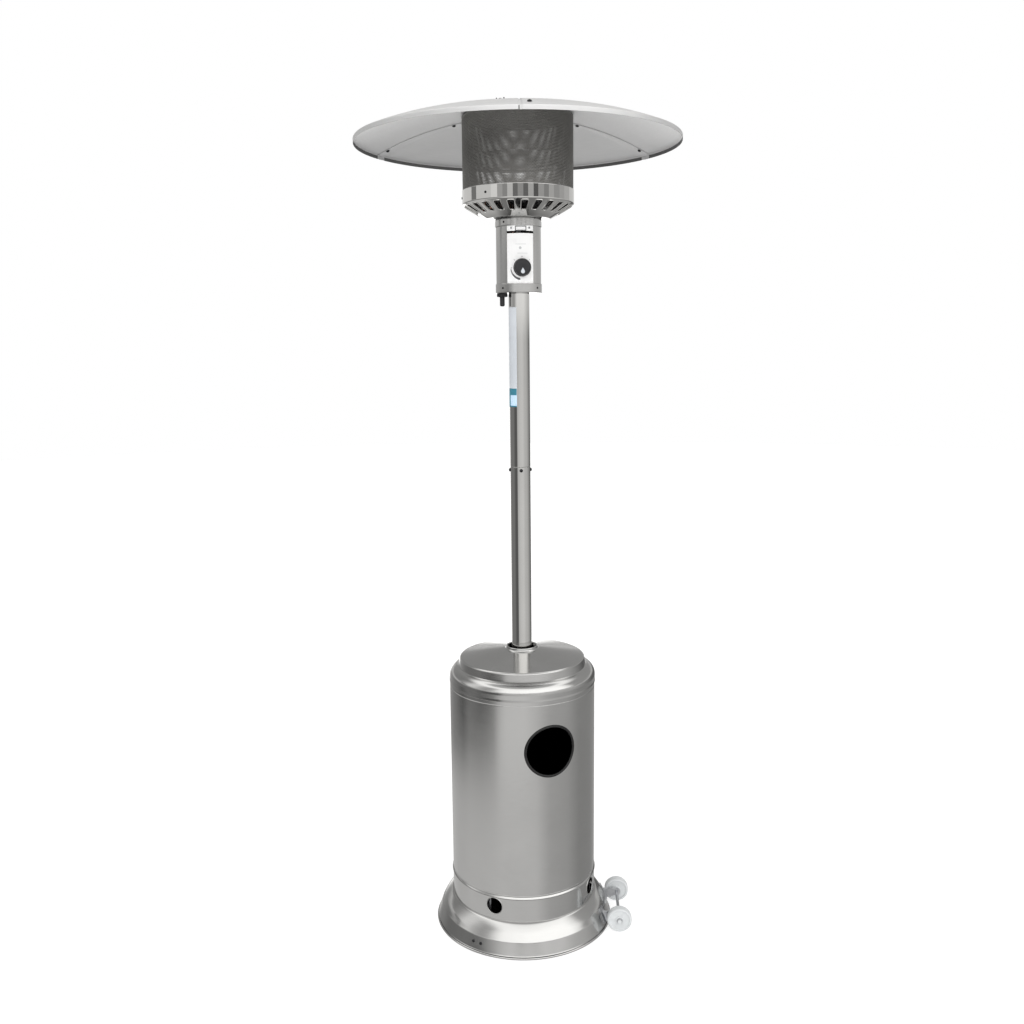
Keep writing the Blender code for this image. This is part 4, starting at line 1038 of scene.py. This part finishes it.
def perforated_ring(columns, heights, hole, bottom, top):
    """A round of perforated sheet. Odd rows are shifted by half a pitch."""
    wall = 0.0008
    rows = len(heights)
    points = []

    def corner(column, row, k):
        """Index of a hole's corner, counted from 30 degrees."""
        return (row * columns + column % columns) * 6 + k

    for row, height in enumerate(heights):
        for column in range(columns):
            for k in range(6):
                angle = radians(30 + 60 * k)
                turn = tau * (column + 0.5 * (row % 2)) / columns + hole * cos(angle) / SCREEN_R
                points.append((degrees(turn), height + hole * sin(angle)))
    faces = []
    for row in range(rows):
        for column in range(columns):
            here = [corner(column, row, k) for k in range(6)]
            beside = column + 1
            faces.append((here[5], corner(beside, row, 3), corner(beside, row, 2), here[0]))
            if row == rows - 1:
                continue
            right = column + row % 2
            left = right - 1
            up_right = [corner(right, row + 1, k) for k in range(6)]
            up_left = [corner(left, row + 1, k) for k in range(6)]
            faces.append((here[0], up_right[4], up_right[3], here[1]))
            faces.append((here[1], up_left[5], up_left[4], here[2]))
            faces.append((here[0], corner(beside, row, 2), up_right[4]))
            faces.append((here[1], up_right[3], up_left[5]))
    for row, order, height in ((0, (3, 4, 5), bottom), (rows - 1, (2, 1, 0), top)):
        edge = [corner(column, row, k) for column in range(columns) for k in order]
        margin = range(len(points), len(points) + len(edge))
        points += [(points[index][0], height) for index in edge]
        for a in range(len(edge)):
            b = (a + 1) % len(edge)
            quad = (edge[a], edge[b], margin[b], margin[a])
            faces.append(quad[::-1] if row == 0 else quad)
    count = len(points)
    vertices = [polar(radius, turn, z) for radius in (SCREEN_R, SCREEN_R - wall) for turn, z in points]
    edges = dict.fromkeys((a, b) for face in faces for a, b in zip(face, face[1:] + face[:1]))
    faces += [tuple(index + count for index in reversed(face)) for face in faces]
    faces += [(a, b, b + count, a + count) for a, b in edges if (b, a) not in edges]
    mesh = bpy.data.meshes.new("screen")
    mesh.from_pydata(vertices, [], faces)
    bm = bmesh.new()
    bm.from_mesh(mesh)
    return mesh_of(bm)


def make_emitter():
    make_screen()
    bottom, top = low("emitter_cap").z, high("emitter_cap").z
    foot, under_dish = bottom + 0.0004, dish_height(STUD_CIRCLE) - 0.0024
    cap = turned(softened(plain_ring(0, SCREEN_R, bottom, bottom + 0.0012), 0.0004), MIDDLE)
    stud = softened([(0, foot), (0.0065, foot), (0.0065, under_dish), (0.0030, under_dish), (0.0030, top),
                     (0, top)], 0.0004)
    studs = [turned(stud, SMALL, Matrix.Translation(polar(STUD_CIRCLE, azimuth))) for azimuth in STUD_AZ]
    in_place_of("emitter_cap", carved(cap, joined(studs), "UNION"))


# ---------------------------------------------------------------- reflector
def dish_line():
    """The dish's outside from its centre hole to the foot of its lip."""
    rows, bend = 44, 0.0030
    line = []
    for row in range(rows + 1):
        radius = DISH_HOLE + (DISH_R - bend - DISH_HOLE) * row / rows
        line.append((radius, dish_height(radius)))
    start = Vector(line[-1])
    for step in range(1, 6):
        t = step / 5
        corner = Vector((DISH_R, start.y - 0.0006))
        end = Vector((DISH_R, start.y - bend))
        line.append(tuple(start.lerp(corner, t).lerp(corner.lerp(end, t), t)))
    return line + [(DISH_R, (start.y - bend + LIP_BOTTOM) / 2), (DISH_R, LIP_BOTTOM)]


def petal(first, last, lap_first, lap_last):
    """One third of the dish. A lap is joggled down and runs on under the neighbour's edge."""
    start = first + LAP_SETBACK if lap_first else first
    stop = last - LAP_SETBACK if lap_last else last
    columns = {}
    steps = round((stop - start) / 2.0)
    for step in range(steps + 1):
        columns[start + (stop - start) * step / steps] = 0.0
    for on, edge, turn in ((lap_first, start, -1), (lap_last, stop, 1)):
        if on:
            for step in range(1, 5):
                t = step / 4
                columns[edge + turn * LAP_STEP * t] = LAP_DROP * t * t * (3 - 2 * t)
            for reach in (0.5, 1.0):
                columns[edge + turn * (LAP_STEP + (LAP + LAP_SETBACK - LAP_STEP) * reach)] = LAP_DROP
    line = dish_line()
    bm = bmesh.new()
    layers = []
    for extra in (0.0, SHEET):
        grid = []
        for angle in sorted(columns):
            ring = shifted(line, columns[angle] + extra)
            grid.append([bm.verts.new(polar(r, angle, z)) for r, z in ring])
        layers.append(grid)
    rows = len(line)
    outer, inner = layers
    for grid in layers:
        for a, b in zip(grid, grid[1:]):
            for row in range(rows - 1):
                bm.faces.new((a[row], b[row], b[row + 1], a[row + 1]))
    for a, b, c, d in zip(outer, outer[1:], inner, inner[1:]):
        bm.faces.new((a[0], b[0], d[0], c[0]))
        bm.faces.new((a[-1], b[-1], d[-1], c[-1]))
    for a, c in ((outer[0], inner[0]), (outer[-1], inner[-1])):
        for row in range(rows - 1):
            bm.faces.new((a[row], a[row + 1], c[row + 1], c[row]))
    return mesh_of(bm)


def make_reflector():
    left_seam, front_seam, right_seam = SEAM_AZ
    in_place_of("reflector_petal_left", petal(left_seam, front_seam, False, True))
    in_place_of("reflector_petal_right", petal(front_seam, right_seam, False, False))
    in_place_of("reflector_petal_rear", petal(right_seam, left_seam + 360, True, True))

    under = LAP_DROP + SHEET + 0.0003
    bolt = turned(softened([(0, -0.0045), (0.0024, -0.0045), (0.0024, under), (0.0048, under),
                            (0.0046, under + 0.0014), (0.0034, under + 0.0030), (0, under + 0.0036)],
                           0.0004), SMALL)
    nut = hex_nut(0.0042, 0.0032, 0.0026)
    nuts = []
    flap_edges = ((left_seam + LAP, -1), (front_seam + LAP, -1), (right_seam - LAP, 1))
    for seam, (edge, back) in enumerate(flap_edges):
        for spot, radius in enumerate(SEAM_BOLT_R):
            azimuth = edge + back * min(degrees(0.0060 / radius), LAP / 2)
            slope = atan2(dish_height(radius - 0.001) - dish_height(radius + 0.001), 0.002)
            place = upright(radius, azimuth, dish_height(radius), slope)
            number = 1 + seam * len(SEAM_BOLT_R) + spot
            in_place_of(f"seam_bolt_{number}", bolt.copy(), place @ Matrix.Rotation(pi, 4, "X"))
            nuts.append(moved(nut, place @ Matrix.Translation((0, 0, 0.0001))))
    shown("seam_bolt_nuts", joined(nuts), "dark_screw")

    base = low("wing_nut_1").z
    for number, azimuth in enumerate(STUD_AZ, 1):
        in_place_of(f"wing_nut_{number}", wing_nut(), upright(STUD_CIRCLE, azimuth, base))


def wing_nut():
    """A wing nut standing on height 0, its wings along local Y."""
    hub = turned(softened([(0.0033, 0), (0.0068, 0), (0.0052, 0.0070), (0.0033, 0.0070)], 0.0008), FINE)
    for side in (-1, 1):
        wing = curve_through([(0.0040, 0.0008), (0.0072, 0.0030), (0.0108, 0.0105), (0.0104, 0.0138),
                              (0.0086, 0.0145), (0.0066, 0.0106), (0.0040, 0.0066)], 5)
        blade = extruded(wing, 0.0018, Matrix.Rotation(radians(90 * side), 4, "Z"), 0.0004)
        hub = carved(hub, blade, "UNION")
    return hub


# ---------------------------------------------------------------- stage, light and camera
def make_floor():
    floor = new_object("floor", turned(plain_ring(0, 14.0, -0.02, -0.0010), WIDE))
    floor.visible_glossy = False
    made, _, shader = finish("floor", 0.9, 0.0, (0.50, 0.50, 0.50), Emission_Strength=0.66)
    shader.inputs["Emission Color"].default_value = (1, 1, 1, 1)
    floor.data.materials.append(made)


def around(tree, turn, stops, interpolation="LINEAR"):
    """Brightness round the horizon, from stops of (azimuth, brightness)."""
    made = node(tree, "ValToRGB", {"Fac": turn})
    made.color_ramp.interpolation = interpolation
    elements = made.color_ramp.elements
    while len(elements) < len(stops):
        elements.new(0.5)
    for element, (azimuth, value) in zip(elements, stops):
        element.position = azimuth / 360 + 0.5
        element.color = (value, value, value, 1.0)
    return made.outputs["Color"]


def blend(tree, a, b, share):
    """A value between a and b."""
    return calc(tree, "MULTIPLY_ADD", calc(tree, "SUBTRACT", b, a), share, a)


def above(tree, height, start, end):
    """0 below one elevation and 1 above another, in degrees."""
    made = node(tree, "MapRange", {
        "Value": height, "From Min": sin(radians(start)), "From Max": sin(radians(end)),
    }, interpolation_type="SMOOTHSTEP")
    return made.outputs["Result"]


# What the metal reflects, from below upwards. Each level of light has the two elevations between which it
# takes over from the one under it, and its stops of (azimuth, brightness).
LIGHT_BELOW = 0.22
LIGHT_LEVELS = (
    (-64, -46, [
        (-180, 0.57), (-130, 0.65), (-100, 0.72), (-40, 0.76), (15, 0.75), (37, 0.55), (70, 0.49),
        (95, 0.35), (135, 0.33), (180, 0.55),
    ]),
    (-24.4, -20.8, [
        (-180, 0.40), (-131, 0.23), (-113, 0.11), (-98, 0.21), (-85, 0.165), (-73, 0.13), (-61, 0.21),
        (-51, 0.35), (-41, 0.82), (-31, 0.93), (-3, 0.93), (17, 0.74), (37, 0.52), (69, 0.48), (95, 0.34),
        (133, 0.34), (180, 0.40),
    ]),
    (-18.4, -17.2, [
        (-180, 3.10), (-169, 1.55), (-156, 0.40), (-120, 0.22), (-85, 0.24), (-60, 0.12), (-41, 0.13),
        (-33, 0.60), (-5, 0.74), (25, 0.78), (50, 0.64), (75, 0.60), (100, 0.40), (135, 0.14), (162, 0.16),
        (171, 1.45), (180, 3.10),
    ]),
    (0.0, 2.2, [
        (-180, 0.40), (-165, 0.50), (-125, 0.55), (-85, 0.45), (-60, 0.38), (-48, 0.60), (-30, 0.96),
        (45, 1.00), (65, 0.90), (100, 0.68), (150, 0.58), (180, 0.40),
    ]),
    (6.0, 6.5, [
        (-180, 0.80), (-152, 0.75), (-116, 0.23), (-100, 0.73), (-63, 0.88), (-48, 0.45), (-37, 0.33),
        (-27, 0.64), (-16.5, 0.19), (-6, 0.37), (4.5, 0.17), (15, 0.52), (25.5, 0.13), (36.5, 0.43),
        (48, 0.30), (60, 0.50), (73, 0.38), (87.5, 0.46), (103.5, 0.54), (124.5, 0.71), (158, 0.80),
    ], "CONSTANT"),
    (9.4, 11.4, [
        (-180, 0.36), (-125, 0.30), (-112, 0.45), (-97, 1.05), (-86, 1.0), (-78, 0.70), (-66, 0.50),
        (-56, 0.60), (-46, 1.2), (-36, 1.65), (0, 1.78), (62, 1.82), (74, 1.4), (84, 0.50), (100, 0.44),
        (180, 0.36),
    ]),
    (40, 54, [(-180, 1.6), (180, 1.6)]),
    (57, 66, [(-180, 0.6), (180, 0.6)]),
)


def make_world():
    """A soft white studio with darker sides, so that the round metal shows its shape."""
    world = bpy.data.worlds.new("studio")
    bpy.context.scene.world = world
    world.use_nodes = True
    tree = world.node_tree
    tree.nodes.clear()
    way = node(tree, "SeparateXYZ", {"Vector": node(tree, "TexCoord").outputs["Generated"]})
    x, y, z = (way.outputs[axis] for axis in "XYZ")
    turn = calc(tree, "ARCTAN2", x, calc(tree, "MULTIPLY", y, -1.0))
    turn = calc(tree, "MULTIPLY_ADD", turn, 1 / tau, 0.5)
    light = LIGHT_BELOW
    for start, end, stops, *interpolation in LIGHT_LEVELS:
        following = around(tree, turn, stops, *interpolation)
        light = blend(tree, light, following, above(tree, z, start, end))
    seen = node(tree, "Background", {"Color": (1, 1, 1, 1), "Strength": 1.0})
    lit = node(tree, "Background", {"Color": (1.0, 0.995, 0.985, 1), "Strength": light})
    path = node(tree, "LightPath")
    mixed = node(tree, "MixShader", {
        "Fac": path.outputs["Is Camera Ray"], 1: lit.outputs[0], 2: seen.outputs[0],
    })
    node(tree, "OutputWorld", {"Surface": mixed.outputs[0]})


def make_light():
    lamp = bpy.data.lights.new("softbox", "AREA")
    lamp.shape, lamp.size, lamp.energy = "DISK", 3.0, 16.0
    softbox = new_object("softbox", lamp)
    softbox.location = (-1.6, -2.8, 3.4)
    softbox.rotation_euler = (Vector((0, 0, 1.0)) - softbox.location).to_track_quat("-Z", "Y").to_euler()
    softbox.visible_glossy = False


def make_camera():
    lens = bpy.data.cameras.new("camera")
    lens.lens, lens.sensor_width = 36.47, 36.0
    camera = new_object("camera", lens)
    place = Matrix.Translation((-0.2351, -2.6868, 1.5676))
    heading, tilt, roll = radians(-4.513), radians(80.85), -0.0098
    for angle, axis in ((heading, "Z"), (tilt, "X"), (roll, "Z")):
        place = place @ Matrix.Rotation(angle, 4, axis)
    camera.matrix_world = place
    bpy.context.scene.camera = camera
    bpy.context.scene.view_settings.view_transform = "Standard"


def paint_frame():
    """Gives the CAD nodes that stay in sight their slot's material."""
    for name, cad_node in frame["nodes"].items():
        cad_node.data.materials.clear()
        cad_node.data.materials.append(MATERIALS[SLOT_OF[name]])


make_camera()
make_world()
make_light()
make_floor()
paint_frame()
make_base()
make_legs()
make_post()
make_housing()
make_wheel_arms()
make_axle()
make_wheels()
make_head_base()
make_head_shell()
make_head_collar()
make_controls()
make_bowl()
make_emitter()
make_reflector()
